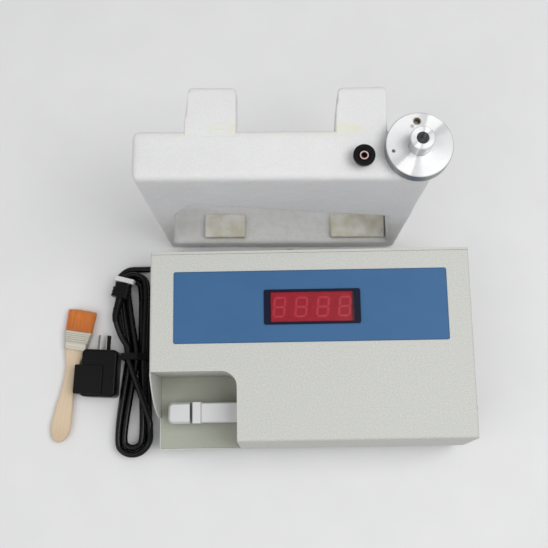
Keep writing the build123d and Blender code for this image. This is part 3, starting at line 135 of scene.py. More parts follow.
class Finish:
    """One material: its shader, and places on its surface in millimetres."""

    def __init__(self, name, roughness=0.5, metallic=0.0, stand=None, **fixed):
        self.material = bpy.data.materials.new(name)
        self.material.use_nodes = True
        self.tree = self.material.node_tree
        self.shader = self.tree.nodes["Principled BSDF"]
        self.give("Roughness", roughness)
        self.give("Metallic", metallic)
        for socket, value in fixed.items():
            self.give(socket.replace("_", " "), value)
        values = {0: self.node("ShaderNodeTexCoord", output="Object"), "Scale": 1 / MM}
        self.place = self.node("ShaderNodeVectorMath", {"operation": "SCALE"}, values)
        if stand:
            values = {"Vector": self.about(stand[:3]), "Angle": math.radians(-stand[3])}
            self.place = self.node("ShaderNodeVectorRotate", {"rotation_type": "Z_AXIS"}, values)

    def node(self, kind, settings=None, values=None, output=0):
        """Adds a node: its settings first, then the values or links of its sockets."""
        made = self.tree.nodes.new(kind)
        for name, value in (settings or {}).items():
            setattr(made, name, value)
        for socket, value in (values or {}).items():
            self.feed(made.inputs[socket], value)
        return Field(self, made.outputs[output])

    def feed(self, socket, value):
        """Links a field to a socket, or writes a plain value on it."""
        if isinstance(value, Field):
            self.tree.links.new(value.socket, socket)
        else:
            socket.default_value = value

    def give(self, socket, value):
        """Feeds one input of the shader."""
        self.feed(self.shader.inputs[socket], value)

    def about(self, centre):
        """Places measured from another centre."""
        return self.node("ShaderNodeVectorMath", {"operation": "SUBTRACT"}, {0: self.place, 1: centre})

    def stretched(self, factors, place=None):
        """Places with each axis scaled, for patterns longer one way than another."""
        values = {0: place or self.place, 1: factors}
        return self.node("ShaderNodeVectorMath", {"operation": "MULTIPLY"}, values)

    def part(self, axis, place=None):
        """One coordinate of a place: 0 for X, 1 for Y, 2 for Z."""
        return self.node("ShaderNodeSeparateXYZ", {}, {0: place or self.place}, output=axis)

    def length(self, place):
        """How far a place is from its centre."""
        return self.node("ShaderNodeVectorMath", {"operation": "LENGTH"}, {0: place}, output=1)

    def noise(self, per_mm, detail=2.0, roughness=0.5, place=None):
        """Soft noise, 0 to 1, with so many cells in a millimetre."""
        values = {"Scale": per_mm, "Detail": detail, "Roughness": roughness}
        return self.node("ShaderNodeTexNoise", {}, {"Vector": place or self.place, **values})

    def cells(self, per_mm):
        """Distance to the nearest cell's middle, about 0 to 1."""
        values = {"Vector": self.place, "Scale": per_mm}
        return self.node("ShaderNodeTexVoronoi", {"feature": "F1"}, values)

    def mix(self, first, second, share):
        """One colour into another."""
        values = {0: share, 6: first, 7: second}
        return self.node("ShaderNodeMix", {"data_type": "RGBA"}, values, output=2)

    def colour(self, first, second, share):
        """Feeds one colour mixed into another to the shader."""
        self.give("Base Color", self.mix(first, second, share))

    def relief(self, height, depth):
        """Feeds a height, 0 to 1, to the surface's normal; depth in millimetres."""
        values = {"Height": height, "Distance": depth * MM, "Strength": 1.0}
        self.give("Normal", self.node("ShaderNodeBump", {}, values))


# ------------------------------------------------------------------ finishes
def plain_finish(name, dark, light, per_mm, roughness, depth, **fixed):
    """Plastic, glue or grease with soft mottling and fine relief."""
    finish = Finish(name, **fixed)
    cloud = finish.noise(per_mm, 3.0)
    grain = finish.noise(per_mm * 12, 2.0)
    finish.colour(dark, light, cloud * 0.7 + grain * 0.3)
    smooth, rough = roughness
    finish.give("Roughness", smooth + (rough - smooth) * (grain * 0.6 + cloud * 0.4))
    finish.relief(grain, depth)
    return finish.material


def textured_paint(name="textured_cream", floor=None):
    """Cream powder coat with an orange-peel skin, with painted shade below a height where one is
    given.
    """
    finish = Finish(name, Specular_IOR_Level=0.35)
    pebbles = finish.noise(0.75, 3.0, 0.55)
    fine = finish.noise(2.4, 2.0)
    tone = pebbles * 0.8 + fine * 0.2
    cream = finish.mix(paint(186, 187, 181), paint(207, 208, 202), tone.fade(0.28, 0.72))
    # Painted shade: below the given height the cream turns darker and greyer-green, where the recess's
    # walls would shade its floor.
    if floor:
        low = 1.0 - finish.part(2).fade(floor + 1.0, floor + 5.0)
        cream = finish.mix(cream, paint(158, 161, 145), low * 0.8)
    finish.give("Base Color", cream)
    finish.give("Roughness", 0.42 + 0.2 * fine)
    finish.relief(tone, 0.17)
    return finish.material


def label_film():
    """Blue printed overlay, matt, with a fine embossed grain."""
    finish = Finish("blue_label", Specular_IOR_Level=0.2)
    grain = finish.noise(2.2, 3.0, 0.6)
    clouds = finish.noise(0.03, 2.0)
    film = finish.mix(paint(50, 92, 134), paint(69, 112, 155), grain * 0.6 + clouds * 0.4)
    low, high = (Vector(corner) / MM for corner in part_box("front_label"))
    x, y = finish.part(0), finish.part(1)
    to_side = (x - (low.x + high.x) / 2).size() - (high.x - low.x) / 2
    to_end = (y - (low.y + high.y) / 2).size() - (high.y - low.y) / 2
    edge = to_side.most(to_end).fade(-1.1, -0.4)
    finish.colour(film, paint(44, 74, 108), edge * 0.7)
    finish.give("Roughness", 0.45 + 0.2 * grain)
    finish.relief(grain, 0.06)
    return finish.material


def red_acrylic():
    """Red window, darker at its ends, through which the unlit digits show."""
    finish = Finish("red_filter", Coat_Weight=0.15, Coat_Roughness=0.1, Specular_IOR_Level=0.2)
    clouds = finish.noise(0.09, 3.0)
    smears = finish.noise(0.25, 3.0, place=finish.stretched((1.0, 0.25, 1.0)))
    low, high = (Vector(corner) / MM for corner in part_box("display_filter"))
    x = finish.part(0)
    ends = (1.0 - (x - low.x).fade(0.4, 1.6)).most((x - high.x).fade(-3.0, -1.6))
    red = finish.mix(paint(168, 30, 48), paint(204, 50, 68), clouds * 0.6 + smears * 0.4)
    finish.colour(red, paint(44, 10, 22), ends)
    finish.give("Roughness", 0.12 + 0.16 * smears)
    finish.give("Alpha", 0.3 + 0.1 * clouds + 0.55 * ends)
    finish.relief(smears, 0.01)
    return finish.material


def digit_face():
    """Face of an unlit display module."""
    finish = Finish("digit_module", Specular_IOR_Level=0.2)
    streaks = finish.noise(0.5, 3.0, place=finish.stretched((1.0, 0.2, 1.0)))
    finish.colour(paint(112, 34, 42), paint(150, 50, 58), streaks)
    finish.give("Roughness", 0.4 + 0.2 * streaks)
    finish.relief(streaks, 0.02)
    return finish.material


def digit_segment():
    """Pale diffuser of one unlit segment."""
    tones = paint(206, 80, 96), paint(230, 106, 120)
    return plain_finish("digit_segment", *tones, 0.6, (0.35, 0.5), 0.02)


def wheel_metal():
    """Turned aluminium: a painted highlight ray and painted dark lanes on its face, darker painted
    shade on the rim's side and a painted streaky reflection on the hub's side, old grease by a hole.
    """
    finish = Finish("wheel_metal")
    place = finish.about(WHEEL_CENTRE)
    x, y, z = (finish.part(axis, place) for axis in range(3))
    radius = (x * x + y * y) ** 0.5
    angle = y.math("ARCTAN2", y, x)
    wobble = finish.noise(0.4, 2.0, place=place)
    rings = (radius * (WHEEL_MARKS_PER_MM * math.tau) + wobble * 3.0).ripple()
    scratches = finish.noise(1.5, 4.0, 0.7, finish.stretched((1.0, 1.0, 0.2), place))
    # Painted highlight: a bright ray across the face where the turned face would mirror the lamps,
    # with painted darker lanes beside it.
    swing = (angle * 2.0 - 0.56 + 0.25 * wobble).wave()
    painted_highlight_ray = swing.fade(0.8, 0.99)
    painted_dark_lane = swing.fade(0.2, 0.7) * (1.0 - painted_highlight_ray)
    tone = 0.5 + 0.2 * scratches + 0.08 * rings + 0.45 * painted_highlight_ray - 0.16 * painted_dark_lane
    bright = finish.mix(paint(170, 171, 172), paint(244, 244, 244), tone.fade(0.1, 1.0))
    # Painted shade on the rim's side and a painted streaky reflection on the hub's side, mixed in as a
    # darker grey.
    rim_painted_shade = radius.fade(WHEEL_RADIUS - 0.5, WHEEL_RADIUS - 0.1)
    rim_painted_shade *= 1.0 - z.fade(WHEEL_RIM - 0.8, WHEEL_RIM - 0.3)
    hub_painted_reflection = z.fade(WHEEL_RIM + 0.3, WHEEL_RIM + 1.0)
    hub_painted_reflection *= 1.0 - z.fade(WHEEL_HUB_TOP - 0.9, WHEEL_HUB_TOP - 0.5)
    streaks = (angle * 9.0 + 5.0 * wobble).ripple() * (0.4 + 0.6 * scratches)
    side = rim_painted_shade.most(hub_painted_reflection * (0.35 + 0.65 * streaks))
    tone = finish.mix(bright, paint(118, 119, 122), side * 0.8)
    hole_place = finish.about((*CRANK_HOLE, WHEEL_FACE))
    ragged = finish.noise(0.9, 3.0, place=hole_place)
    stain = 1.0 - (finish.length(hole_place) - ragged * 2.0).fade(1.7, 2.9)
    spot = finish.length(finish.about((*GREASE_SMEAR, WHEEL_FACE)))
    smear = 0.6 * (1.0 - (spot - ragged * 1.6).fade(0.2, 1.2))
    share = stain.most(smear)
    finish.colour(tone, paint(104, 84, 52), share * 0.85)
    finish.give("Metallic", (0.3 + 0.55 * side) * (1.0 - 0.8 * share))
    finish.give("Roughness", 0.26 + 0.12 * scratches + 0.1 * share)
    finish.relief(rings * 0.7 + scratches * 0.3, 0.03)
    return finish.material


def knob_brass():
    """Old brass insert: a worn pale lip round a greasy bore."""
    finish = Finish("old_brass", Specular_IOR_Level=0.3)
    place = finish.about((*KNOB_CENTRE, 0.0))
    x, y = finish.part(0, place), finish.part(1, place)
    dirt = finish.noise(0.8, 3.0)
    radius = (x * x + y * y) ** 0.5 + dirt * 0.3
    lip = radius.fade(2.6, 3.0) * (1.0 - radius.fade(3.7, 4.0))
    worn = finish.mix(paint(176, 142, 136), paint(220, 192, 186), dirt)
    finish.colour(paint(52, 18, 20), worn, lip)
    finish.give("Metallic", 0.5 * lip)
    finish.give("Roughness", 0.35 + 0.15 * dirt)
    finish.relief(dirt, 0.05)
    return finish.material


def brushed_metal(name, dark, light, roughness, along, metallic=1.0, stand=None):
    """Metal with fine straight marks along one axis, between two screen colours."""
    finish = Finish(name, metallic=metallic, stand=stand)
    factors = tuple(0.08 if axis == along else 1.0 for axis in range(3))
    lines = finish.noise(3.0, 4.0, 0.65, finish.stretched(factors))
    clouds = finish.noise(0.05, 2.0)
    finish.colour(paint(*dark), paint(*light), lines * 0.7 + clouds * 0.3)
    finish.give("Roughness", roughness + 0.18 * lines)
    finish.relief(lines, 0.02)
    return finish.material


def foam_skin():
    """White expanded foam: closed cells, yellowed glue at the bars' seams and on the sill."""
    light_inside = {"Subsurface_Weight": 0.12, "Subsurface_Scale": 0.006}
    finish = Finish("foam", stand=FOAM_STAND, Specular_IOR_Level=0.25, **light_inside)
    cell = finish.cells(0.55)
    pits = finish.noise(0.5, 4.0, 0.6)
    clouds = finish.noise(0.02, 3.0)
    grain = cell * 0.2 + pits * 0.4 + clouds * 0.5
    tone = finish.mix(paint(206, 206, 205), paint(229, 229, 229), grain)
    y, z = finish.part(1), finish.part(2)
    ragged = finish.noise(0.12, 4.0, 0.65)
    seam = 1.0 - ((y - FOAM_BACK).size() + ragged * 8.0 - 4.0).fade(1.0, 9.0)
    on_top = z.fade(FOAM_TOP - 3.0, FOAM_TOP)
    patches = finish.noise(0.05, 2.0).fade(0.42, 0.62)
    glue = seam * on_top * patches
    by_sill = 1.0 - (z - FOAM_SILL).size().fade(1.0, 11.0)
    sill = by_sill * y.fade(-2.0, 6.0) * (1.0 - y.fade(34.0, 44.0))
    old = sill * ragged.fade(0.4, 0.65)
    tone = finish.mix(tone, paint(218, 216, 176), glue * 0.4)
    finish.colour(tone, paint(192, 188, 172), old * 0.25)
    finish.give("Roughness", 0.62 + 0.2 * pits)
    finish.relief(cell * 0.35 + pits * 0.65, 0.25)
    return finish.material


def glue_bead():
    """Dried hot-melt glue."""
    tones = paint(216, 212, 170), paint(236, 232, 204)
    return plain_finish("glue", *tones, 0.4, (0.25, 0.45), 0.1)


def glued_and_shaded_pad():
    """Foam pad soaked with old glue, its tan partly painted shade where the bars block the light."""
    finish = Finish("foam_tan", stand=FOAM_STAND, Specular_IOR_Level=0.25)
    pits = finish.noise(0.45, 4.0, 0.65)
    clouds = finish.noise(0.06, 3.0)
    pale = finish.mix(paint(220, 218, 210), paint(230, 229, 223), pits)
    # The tan clouds are partly old glue and partly painted shade where the bars block the light.
    finish.colour(pale, paint(206, 201, 182), clouds.fade(0.3, 0.65))
    finish.give("Roughness", 0.6 + 0.25 * pits)
    finish.relief(pits, 0.5)
    return finish.material


def bristle_fibre():
    """Dyed bristles: streaks along them, darker at the ferrule."""
    finish = Finish("bristle", stand=BRUSH_STAND, Sheen_Weight=0.15)
    streaks = finish.noise(1.6, 3.0, 0.6, finish.stretched((0.05, 1.0, 1.0)))
    clumps = finish.noise(0.35, 2.0, place=finish.stretched((0.15, 1.0, 1.0)))
    depth = finish.part(0).fade(4.0, 26.0)
    tone = finish.mix(paint(230, 124, 40), paint(255, 174, 80), streaks * 0.5 + clumps * 0.5)
    finish.colour(tone, paint(206, 108, 42), depth * 0.45)
    finish.give("Roughness", 0.4 + 0.3 * streaks)
    return finish.material


def pale_wood():
    """Bare wood with long grain and darker pores."""
    finish = Finish("pale_wood", stand=BRUSH_STAND, Specular_IOR_Level=0.3)
    drift = finish.noise(0.05, 2.0, place=finish.stretched((0.3, 1.0, 1.0)))
    rings = (finish.part(1) * 1.6 + drift * 9.0).ripple()
    pores = finish.noise(1.8, 4.0, 0.7, finish.stretched((0.05, 1.0, 1.0)))
    grain = rings * 0.16 + pores * 0.6 + drift * 0.24
    tone = finish.mix(paint(206, 182, 150), paint(225, 206, 180), grain)
    end = finish.part(0).fade(118.0, 146.0)
    finish.colour(tone, paint(188, 156, 118), end * 0.35)
    finish.give("Roughness", 0.5 + 0.2 * pores)
    finish.relief(pores * 0.9 + rings * 0.1, 0.06)
    return finish.material


def circuit_laminate():
    """Green solder mask over a maze of tracks."""
    finish = Finish("circuit_board", Coat_Weight=0.2)
    settings = {"offset": 0.37, "squash": 0.7, "squash_frequency": 3}
    values = {"Scale": 0.16, "Mortar Size": 0.05, "Brick Width": 0.9, "Row Height": 0.32}
    values["Vector"] = finish.place
    tracks = finish.node("ShaderNodeTexBrick", settings, values, output=1)
    dust = finish.noise(0.8, 3.0)
    finish.colour(paint(22, 84, 44), paint(74, 140, 78), tracks * 0.7 + dust * 0.2)
    finish.give("Roughness", 0.35 + 0.2 * dust)
    finish.relief(tracks, 0.03)
    return finish.material


def laminations():
    """Stacked core plates, one to a millimetre, under varnish."""
    finish = Finish("core_steel", metallic=0.6)
    plates = (finish.part(1) * math.tau).ripple()
    rust = finish.noise(0.25, 4.0, 0.6)
    finish.colour(paint(84, 82, 80), paint(150, 146, 138), plates * 0.5 + rust * 0.5)
    finish.give("Roughness", 0.45 + 0.25 * rust)
    finish.relief(plates, 0.15)
    return finish.material


def winding_tape():
    """Yellow tape lapped round the winding."""
    finish = Finish("winding_tape")
    tape_width = 9.0
    laps = (finish.part(2) * (math.tau / tape_width)).wave().fade(0.2, 0.9)
    creases = finish.noise(0.5, 3.0, place=finish.stretched((1.0, 1.0, 0.3)))
    folds = laps * 0.5 + creases * 0.5
    finish.colour(paint(196, 160, 52), paint(226, 194, 88), folds)
    finish.give("Roughness", 0.3 + 0.25 * creases)
    finish.relief(folds, 0.2)
    return finish.material


def cord_sheath():
    """Black flexible sheath with fine grain and dust."""
    finish = Finish("cord_black", Specular_IOR_Level=0.22)
    dust = finish.noise(0.12, 4.0, 0.65)
    fine = finish.noise(2.0, 2.0)
    finish.colour(paint(6, 6, 7), paint(26, 26, 28), dust.fade(0.45, 0.85) * 0.6 + fine * 0.2)
    finish.give("Roughness", 0.17 + 0.18 * dust)
    finish.relief(fine * 0.4 + dust * 0.6, 0.12)
    return finish.material


def black_plastic(name, shade, roughness, depth=0.05):
    """Moulded black plastic or rubber with a fine grain, from a darkest to a lightest grey."""
    low, high = shade
    tones = paint(low, low, low + 1), paint(high, high, high + 2)
    return plain_finish(name, *tones, 0.15, roughness, depth, Specular_IOR_Level=0.14)


def navy_plastic():
    """Dull dark blue bezel."""
    tones = paint(12, 16, 36), paint(22, 27, 50)
    return plain_finish("navy_bezel", *tones, 0.2, (0.35, 0.5), 0.05, Specular_IOR_Level=0.1)


def terminal_plastic():
    """Green terminal block."""
    tones = paint(34, 112, 66), paint(56, 146, 88)
    return plain_finish("terminal_green", *tones, 0.3, (0.35, 0.5), 0.04)


def white_plastic():
    """Pale guard over the plug's pins."""
    tones = paint(208, 209, 210), paint(232, 233, 234)
    return plain_finish("guard_white", *tones, 0.3, (0.35, 0.55), 0.06)


# Metals: darkest and lightest tone, roughness, axis of their marks, and how metallic they are.
METALS = {
    "zinc_sheet": ((150, 152, 156), (196, 198, 202), 0.34, 0, 1.0),
    "plated_steel": ((170, 168, 160), (214, 212, 204), 0.26, 1, 1.0),
    "jaw_steel": ((194, 194, 195), (218, 218, 219), 0.42, 0, 0.4),
    "aluminium": ((176, 178, 181), (222, 223, 225), 0.3, 0, 1.0),
    "brass": ((164, 128, 66), (214, 178, 104), 0.28, 0, 1.0),
    "ground_steel": ((186, 188, 190), (232, 233, 234), 0.16, 0, 1.0),
    "nickel": ((176, 174, 168), (226, 224, 218), 0.2, 1, 1.0),
    "tinplate": ((172, 167, 154), (216, 211, 197), 0.36, 1, 0.6, BRUSH_STAND),
}

# One finish for each slot, and those of single pieces that differ from their slot's.
FINISHES = {name: brushed_metal(name, *look) for name, look in METALS.items()}
FINISHES |= {
    "textured_cream": textured_paint(),
    "black_rubber": black_plastic("black_rubber", (20, 40), (0.6, 0.85), 0.12),
    "blue_label": label_film(),
    "navy_bezel": navy_plastic(),
    "red_filter": red_acrylic(),
    "digit_module": digit_face(),
    "circuit_board": circuit_laminate(),
    "black_plastic": black_plastic("black_plastic", (6, 14), (0.22, 0.4)),
    "chip_black": black_plastic("chip_black", (24, 46), (0.4, 0.6)),
    "terminal_green": terminal_plastic(),
    "core_steel": laminations(),
    "winding_tape": winding_tape(),
    "foam": foam_skin(),
    "foam_tan": glued_and_shaded_pad(),
    "bristle": bristle_fibre(),
    "pale_wood": pale_wood(),
    "cord_black": cord_sheath(),
    "plug_black": black_plastic("plug_black", (7, 16), (0.28, 0.45), 0.08),
    "guard_white": white_plastic(),
}
PIECE_FINISHES = {
    # The recess liner's paint carries painted shade on its floor.
    "recess_liner": textured_paint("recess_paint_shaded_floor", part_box("recess_liner")[0].z / MM),
    "hand_wheel": wheel_metal(),
    "knob_insert": knob_brass(),
}


def dress_nodes():
    """Gives every CAD node the finish of its slot."""
    for row in frame["record"]["subparts"]:
        node = frame["nodes"][row["node"]]
        node.data.materials.clear()
        finish = PIECE_FINISHES.get(row["node"]) or FINISHES[row["material_slot"]]
        node.data.materials.append(finish)


# ------------------------------------------------------------------ making pieces
def keep(name, mesh, slot_name, body, material=None, place=None, smooth=True):
    """A new piece from a mesh in millimetres, with its finish, that of its slot unless one is given,
    and its body.
    """
    mesh.transform(Matrix.Scale(MM, 4))
    if place is not None:
        mesh.transform(place)
    for face in mesh.polygons:
        face.use_smooth = smooth
    piece = bpy.data.objects.new(name, mesh)
    bpy.context.scene.collection.objects.link(piece)
    mesh.materials.append(material or FINISHES[slot_name])
    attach(piece, body)
    return piece


def standing(x, y, z, heading):
    """Where a piece drawn in its own frame stands: a point in millimetres and a turn in degrees."""
    return Matrix.Translation(Vector((x, y, z)) * MM) @ Matrix.Rotation(math.radians(heading), 4, "Z")


TUBE_SIDES = 24


def rings_mesh(name, rings, loop=False):
    """A closed skin over rings of as many points each: capped at its ends, or a loop."""
    count = len(rings[0])
    faces = []
    for row in range(len(rings) if loop else len(rings) - 1):
        here, there = row * count, (row + 1) % len(rings) * count
        for index in range(count):
            after = (index + 1) % count
            faces.append((here + index, here + after, there + after, there + index))
    if not loop:
        faces.append(tuple(reversed(range(count))))
        faces.append(tuple(range((len(rings) - 1) * count, len(rings) * count)))
    mesh = bpy.data.meshes.new(name)
    mesh.from_pydata([point for ring in rings for point in ring], [], faces)
    work = bmesh.new()
    work.from_mesh(mesh)
    bmesh.ops.recalc_face_normals(work, faces=work.faces)
    work.to_mesh(mesh)
    work.free()
    return mesh


def oval(x, half_width, half_height, power, count=40):
    """A ring across X: an ellipse at power 2, nearly a rectangle at a high power."""
    ring = []
    for index in range(count):
        angle = math.tau * (index + 0.5) / count
        cos, sin = math.cos(angle), math.sin(angle)
        y = math.copysign(abs(cos) ** (2 / power), cos) * half_width
        z = math.copysign(abs(sin) ** (2 / power), sin) * half_height
        ring.append(Vector((x, y, z)))
    return ring


def flat_ring(x, half_width, half_height, corner):
    """A ring across X: a rectangle with round corners and points along its wide sides."""
    corner_steps, side_steps = 6, 12
    y_in, z_in = half_width - corner, half_height - corner
    ring = []
    for quarter, (side_y, side_z) in enumerate(((1, 1), (-1, 1), (-1, -1), (1, -1))):
        for step in range(corner_steps + 1):
            angle = math.pi / 2 * (quarter + step / corner_steps)
            y = side_y * y_in + corner * math.cos(angle)
            ring.append(Vector((x, y, side_z * z_in + corner * math.sin(angle))))
        if side_y == side_z:
            for step in range(1, side_steps):
                y = side_y * y_in * (1 - 2 * step / side_steps)
                ring.append(Vector((x, y, side_z * half_height)))
    return ring


def tube_rings(centres, radii):
    """Rings of given radii along a line of points, without twist."""
    turns = [math.tau * step / TUBE_SIDES for step in range(TUBE_SIDES)]
    rings = []
    side = None
    for index, (centre, radius) in enumerate(zip(centres, radii)):
        before = centres[max(index - 1, 0)]
        after = centres[min(index + 1, len(centres) - 1)]
        ahead = (after - before).normalized()
        if side is None:
            side = ahead.orthogonal().normalized()
        side = (side - ahead * side.dot(ahead)).normalized()
        other = ahead.cross(side)
        rings.append([centre + radius * (math.cos(t) * side + math.sin(t) * other) for t in turns])
    return rings


# ------------------------------------------------------------------ mains lead
CORD_DIAMETER = 6.5

# The hank: three places on its middle line in plan, and the pitch from loop to loop. The lower
# layer winds inwards from a wide entry, climbs at one fold, and the upper one winds out again;
# the last stretch lies over both.
CORD_PITCH = 7.02
HANK_TOP = (-188.5, 79.0)
HANK_WAIST = (-182.5, 3.0)
HANK_BOTTOM = (-187.5, -82.0)
WAIST_LENGTH = 9.0
HANK_TURNS = 3.25
LAYER_TURNS = 1.75
CLIMBING_TURN = 1.5
ENTRY_PITCHES = 2.0
ENTRY_LENGTH = 9.0
HANK_LAYERS = (4.25, 11.27, 18.29)

# A fold is the half turn at an end of the hank, drawn through four corners so many degrees apart.
FOLD_RADIUS = 6.9
FOLD_CORNER = 50.0
FOLD_STEP = 0.06

# Both ends of the lead: the gland's mouth, and the plug, whose place is its pin guard's front.
GLAND_EXIT = (-128.0, 97.5, 38.2)
PLUG_FRONT = (-195.6, 87.0)
PLUG_HEADING = 75.5
PLUG_HEIGHT = 22.42
PLUG_END = 34.0

# The reliefs: length, and radius at the wide and the narrow end. Then their ribs, the chamfer of
# their ends, and the least step between the points they are drawn over.
GLAND_RELIEF = (24.0, 5.0, 3.8)
PLUG_RELIEF = (14.0, 3.9, 3.6)
RIB_HEIGHT = 0.45
RIB_PITCH = 3.2
RELIEF_CHAMFER = 0.4
RELIEF_STEP = 0.35


def middle_x(y):
    """The hank's middle line in plan, drawn in at its tied waist."""
    end = HANK_TOP if y > HANK_WAIST[1] else HANK_BOTTOM
    share = (y - HANK_WAIST[1]) / (end[1] - HANK_WAIST[1])
    return HANK_WAIST[0] + share * (end[0] - HANK_WAIST[0])


def winding_radius(turn):
    """How far from the middle line the winding runs: it steps inwards and then out again."""
    return CORD_PITCH * (LAYER_TURNS - min(turn, 2 * LAYER_TURNS - turn))


def fold_place(index):
    """Corner of a fold, across and along the hank, as shares of the fold's radius."""
    angle = math.radians((1.5 - index) * FOLD_CORNER)
    reach = 1 / math.cos(math.radians(FOLD_CORNER / 2))
    return reach * math.sin(angle), reach * math.cos(angle)


def fold(turn, upper, heights):
    """Four corners of the half turn at one end of the hank."""
    centre_y = (HANK_TOP if upper else HANK_BOTTOM)[1]
    side = 1 if upper else -1
    corners = []
    for index in range(4):
        radius = FOLD_RADIUS + winding_radius(turn + (index - 1.5) * FOLD_STEP)
        across, along = fold_place(index)
        x = middle_x(centre_y) + side * across * radius
        corners.append((x, centre_y + side * along * radius, heights[index]))
    return corners


def waist(turn, z):
    """The winding's straight stretch inside the tie."""
    side = -1 if turn % 1 < 0.25 else 1
    x = HANK_WAIST[0] + side * winding_radius(turn)
    y = HANK_WAIST[1]
    return [(x, y - side * WAIST_LENGTH / 2, z), (x, y + side * WAIST_LENGTH / 2, z)]


def lead_route():
    """From the gland down behind the case and round to the hank."""
    x, y, z = GLAND_EXIT
    return [
        (x, y, z),
        (x, y + 2.5, z),
        (-128.7, 104.1, 37.3),
        (-130.4, 107.3, 35.2),
        (-132.7, 109.1, 32.2),
        (-139.5, 108.7, 23.3),
        (-148.3, 106.7, 15.6),
        (-157.5, 103.6, 9.4),
        (-165.5, 101.0, 5.2),
    ]


def hank_route():
    """Two layers of loops, in and out, then across the top to the waist."""
    low, high, over = HANK_LAYERS
    top_x, top_y = HANK_TOP
    start_radius = FOLD_RADIUS + CORD_PITCH * ENTRY_PITCHES
    start_x, start_y = top_x + CORD_DIAMETER, top_y + start_radius
    points = [(start_x + ENTRY_LENGTH, start_y, low), (start_x, start_y, low)]
    for index in (2, 3):
        across, along = fold_place(index)
        points.append((top_x + across * start_radius, top_y + along * start_radius, low))
    step = CORD_PITCH / 3
    turn = 0.0
    while turn < HANK_TURNS:
        layer = low if turn < LAYER_TURNS else high
        heights = (layer,) * 4
        if turn == CLIMBING_TURN:
            heights = (low, low + step, high - step, high)
        points += waist(turn, layer) + fold(turn + 0.25, turn % 1 > 0.25, heights)
        turn += 0.5
    x, y, _ = points[-1]
    points += [(x + 0.3, y + 14.0, over), (x + 0.1, y + 24.0, over)]
    left = waist(0.0, over)[0][0] + step
    for side in (-1, 1):
        points.append((left, HANK_WAIST[1] + side * WAIST_LENGTH / 2, over))
    return points


def plug_point(along):
    """A place on the plug's axis, measured back from the front of its pin guard."""
    heading = math.radians(PLUG_HEADING)
    x, y = PLUG_FRONT
    return (x - along * math.cos(heading), y - along * math.sin(heading), PLUG_HEIGHT)


def tail_route():
    """From the waist up to the plug."""
    return [
        (-199.0, 22.5, 18.69),
        (-203.6, 34.0, 20.29),
        plug_point(PLUG_END + 9.0),
        plug_point(PLUG_END),
    ]


def make_mains_lead():
    """One smooth cord from the gland to the plug, and the points of its middle line."""
    data = bpy.data.curves.new("mains_lead", "CURVE")
    data.dimensions = "3D"
    data.resolution_u = 12
    spline = data.splines.new("NURBS")
    points = lead_route() + hank_route()
    x, y, z = points[-1]
    points += [(x, y + CORD_DIAMETER, z)] + tail_route()
    spline.points.add(len(points) - 1)
    for target, (x, y, z) in zip(spline.points, points):
        target.co = (x * MM, y * MM, z * MM, 1.0)
    spline.order_u = 3
    spline.use_endpoint_u = True
    lead = bpy.data.objects.new("mains_lead", data)
    bpy.context.scene.collection.objects.link(lead)
    bpy.context.view_layer.update()
    line = bpy.data.meshes.new_from_object(lead)
    route = [vertex.co / MM for vertex in line.vertices]
    bpy.data.meshes.remove(line)
    data.bevel_depth = CORD_DIAMETER / 2 * MM
    data.bevel_resolution = 6
    data.materials.append(FINISHES["cord_black"])
    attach(lead, "tester")
    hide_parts("cord_lead", "cord_hank", "cord_tail")
    return lead, route


def make_relief(name, route, length, wide, narrow, slot_name):
    """A ribbed strain relief that tapers along the start of a route."""
    centres, radii = [], []
    gone = 0.0
    for before, after in zip([route[0]] + route, route):
        gone += (after - before).length
        if gone > length:
            break
        if centres and (after - centres[-1]).length < RELIEF_STEP:
            continue
        share = gone / length
        rib = RIB_HEIGHT if math.sin(gone * math.tau / RIB_PITCH) > -0.2 else 0.0
        centres.append(after)
        radii.append(wide + (narrow - wide) * share + rib * (1 - share))
    rings = tube_rings(centres, radii)
    last = tube_rings(centres[-2:], [radii[-1] - RELIEF_CHAMFER] * 2)[1]
    shift = (centres[-1] - centres[-2]).normalized() * RELIEF_CHAMFER
    rings.append([point + shift for point in last])
    return keep(name, rings_mesh(name, rings), slot_name, "tester")


# ------------------------------------------------------------------ foam cap
FOAM_PLACE = standing(*FOAM_STAND)
FLOOR_GAP = 0.02

# The bars' front rims are drawn into the frame, so that no seam shows at its back.
BAR_RIM = 2.4
BAR_SINK = Vector((0.0, -9.0, -0.5))

# Left ends of the bars along the foam, and their width.
BAR_LEFTS = (43.0, 168.2)
BAR_WIDTH = 44.4
BEADS_ON_BAR = 6
BEAD_HEIGHT = 253.45


def foam_piece(name, node, slot_name, voxel, unevenness, rounding=3, sink=False):
    """A foam piece with soft edges and a hand-cut, slightly wavy surface, over its CAD solid."""
    mesh = frame["nodes"][node].data.copy()
    mesh.transform(FOAM_PLACE.inverted())
    mesh.transform(Matrix.Scale(1 / MM, 4))
    rough = bpy.data.objects.new(name + "_rough", mesh)
    bpy.context.scene.collection.objects.link(rough)
    remesh = rough.modifiers.new("even", "REMESH")
    remesh.mode = "VOXEL"
    remesh.voxel_size = voxel
    soft = rough.modifiers.new("soft", "SMOOTH")
    soft.factor = 0.5
    soft.iterations = rounding
    bpy.context.view_layer.update()
    evaluated = rough.evaluated_get(bpy.context.evaluated_depsgraph_get())
    shaped = bpy.data.meshes.new_from_object(evaluated)
    bpy.data.objects.remove(rough)
    normals = [vertex.normal.copy() for vertex in shaped.vertices]
    elsewhere = Vector((9.0, 4.0, 2.0))
    for vertex, normal in zip(shaped.vertices, normals):
        swell = noise.noise(vertex.co * 0.02) * 0.6 + noise.noise(vertex.co * 0.11) * 0.3
        dents = min(0.0, noise.noise(vertex.co * 0.06 + elsewhere) + 0.45)
        vertex.co += normal * unevenness * (swell - 0.35 + dents)
        vertex.co.z = max(vertex.co.z, FLOOR_GAP)
        if sink and vertex.co.y < FOAM_BACK + BAR_RIM:
            vertex.co += BAR_SINK
    piece = keep(name, shaped, slot_name, "foam_cap", place=FOAM_PLACE)
    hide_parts(node)


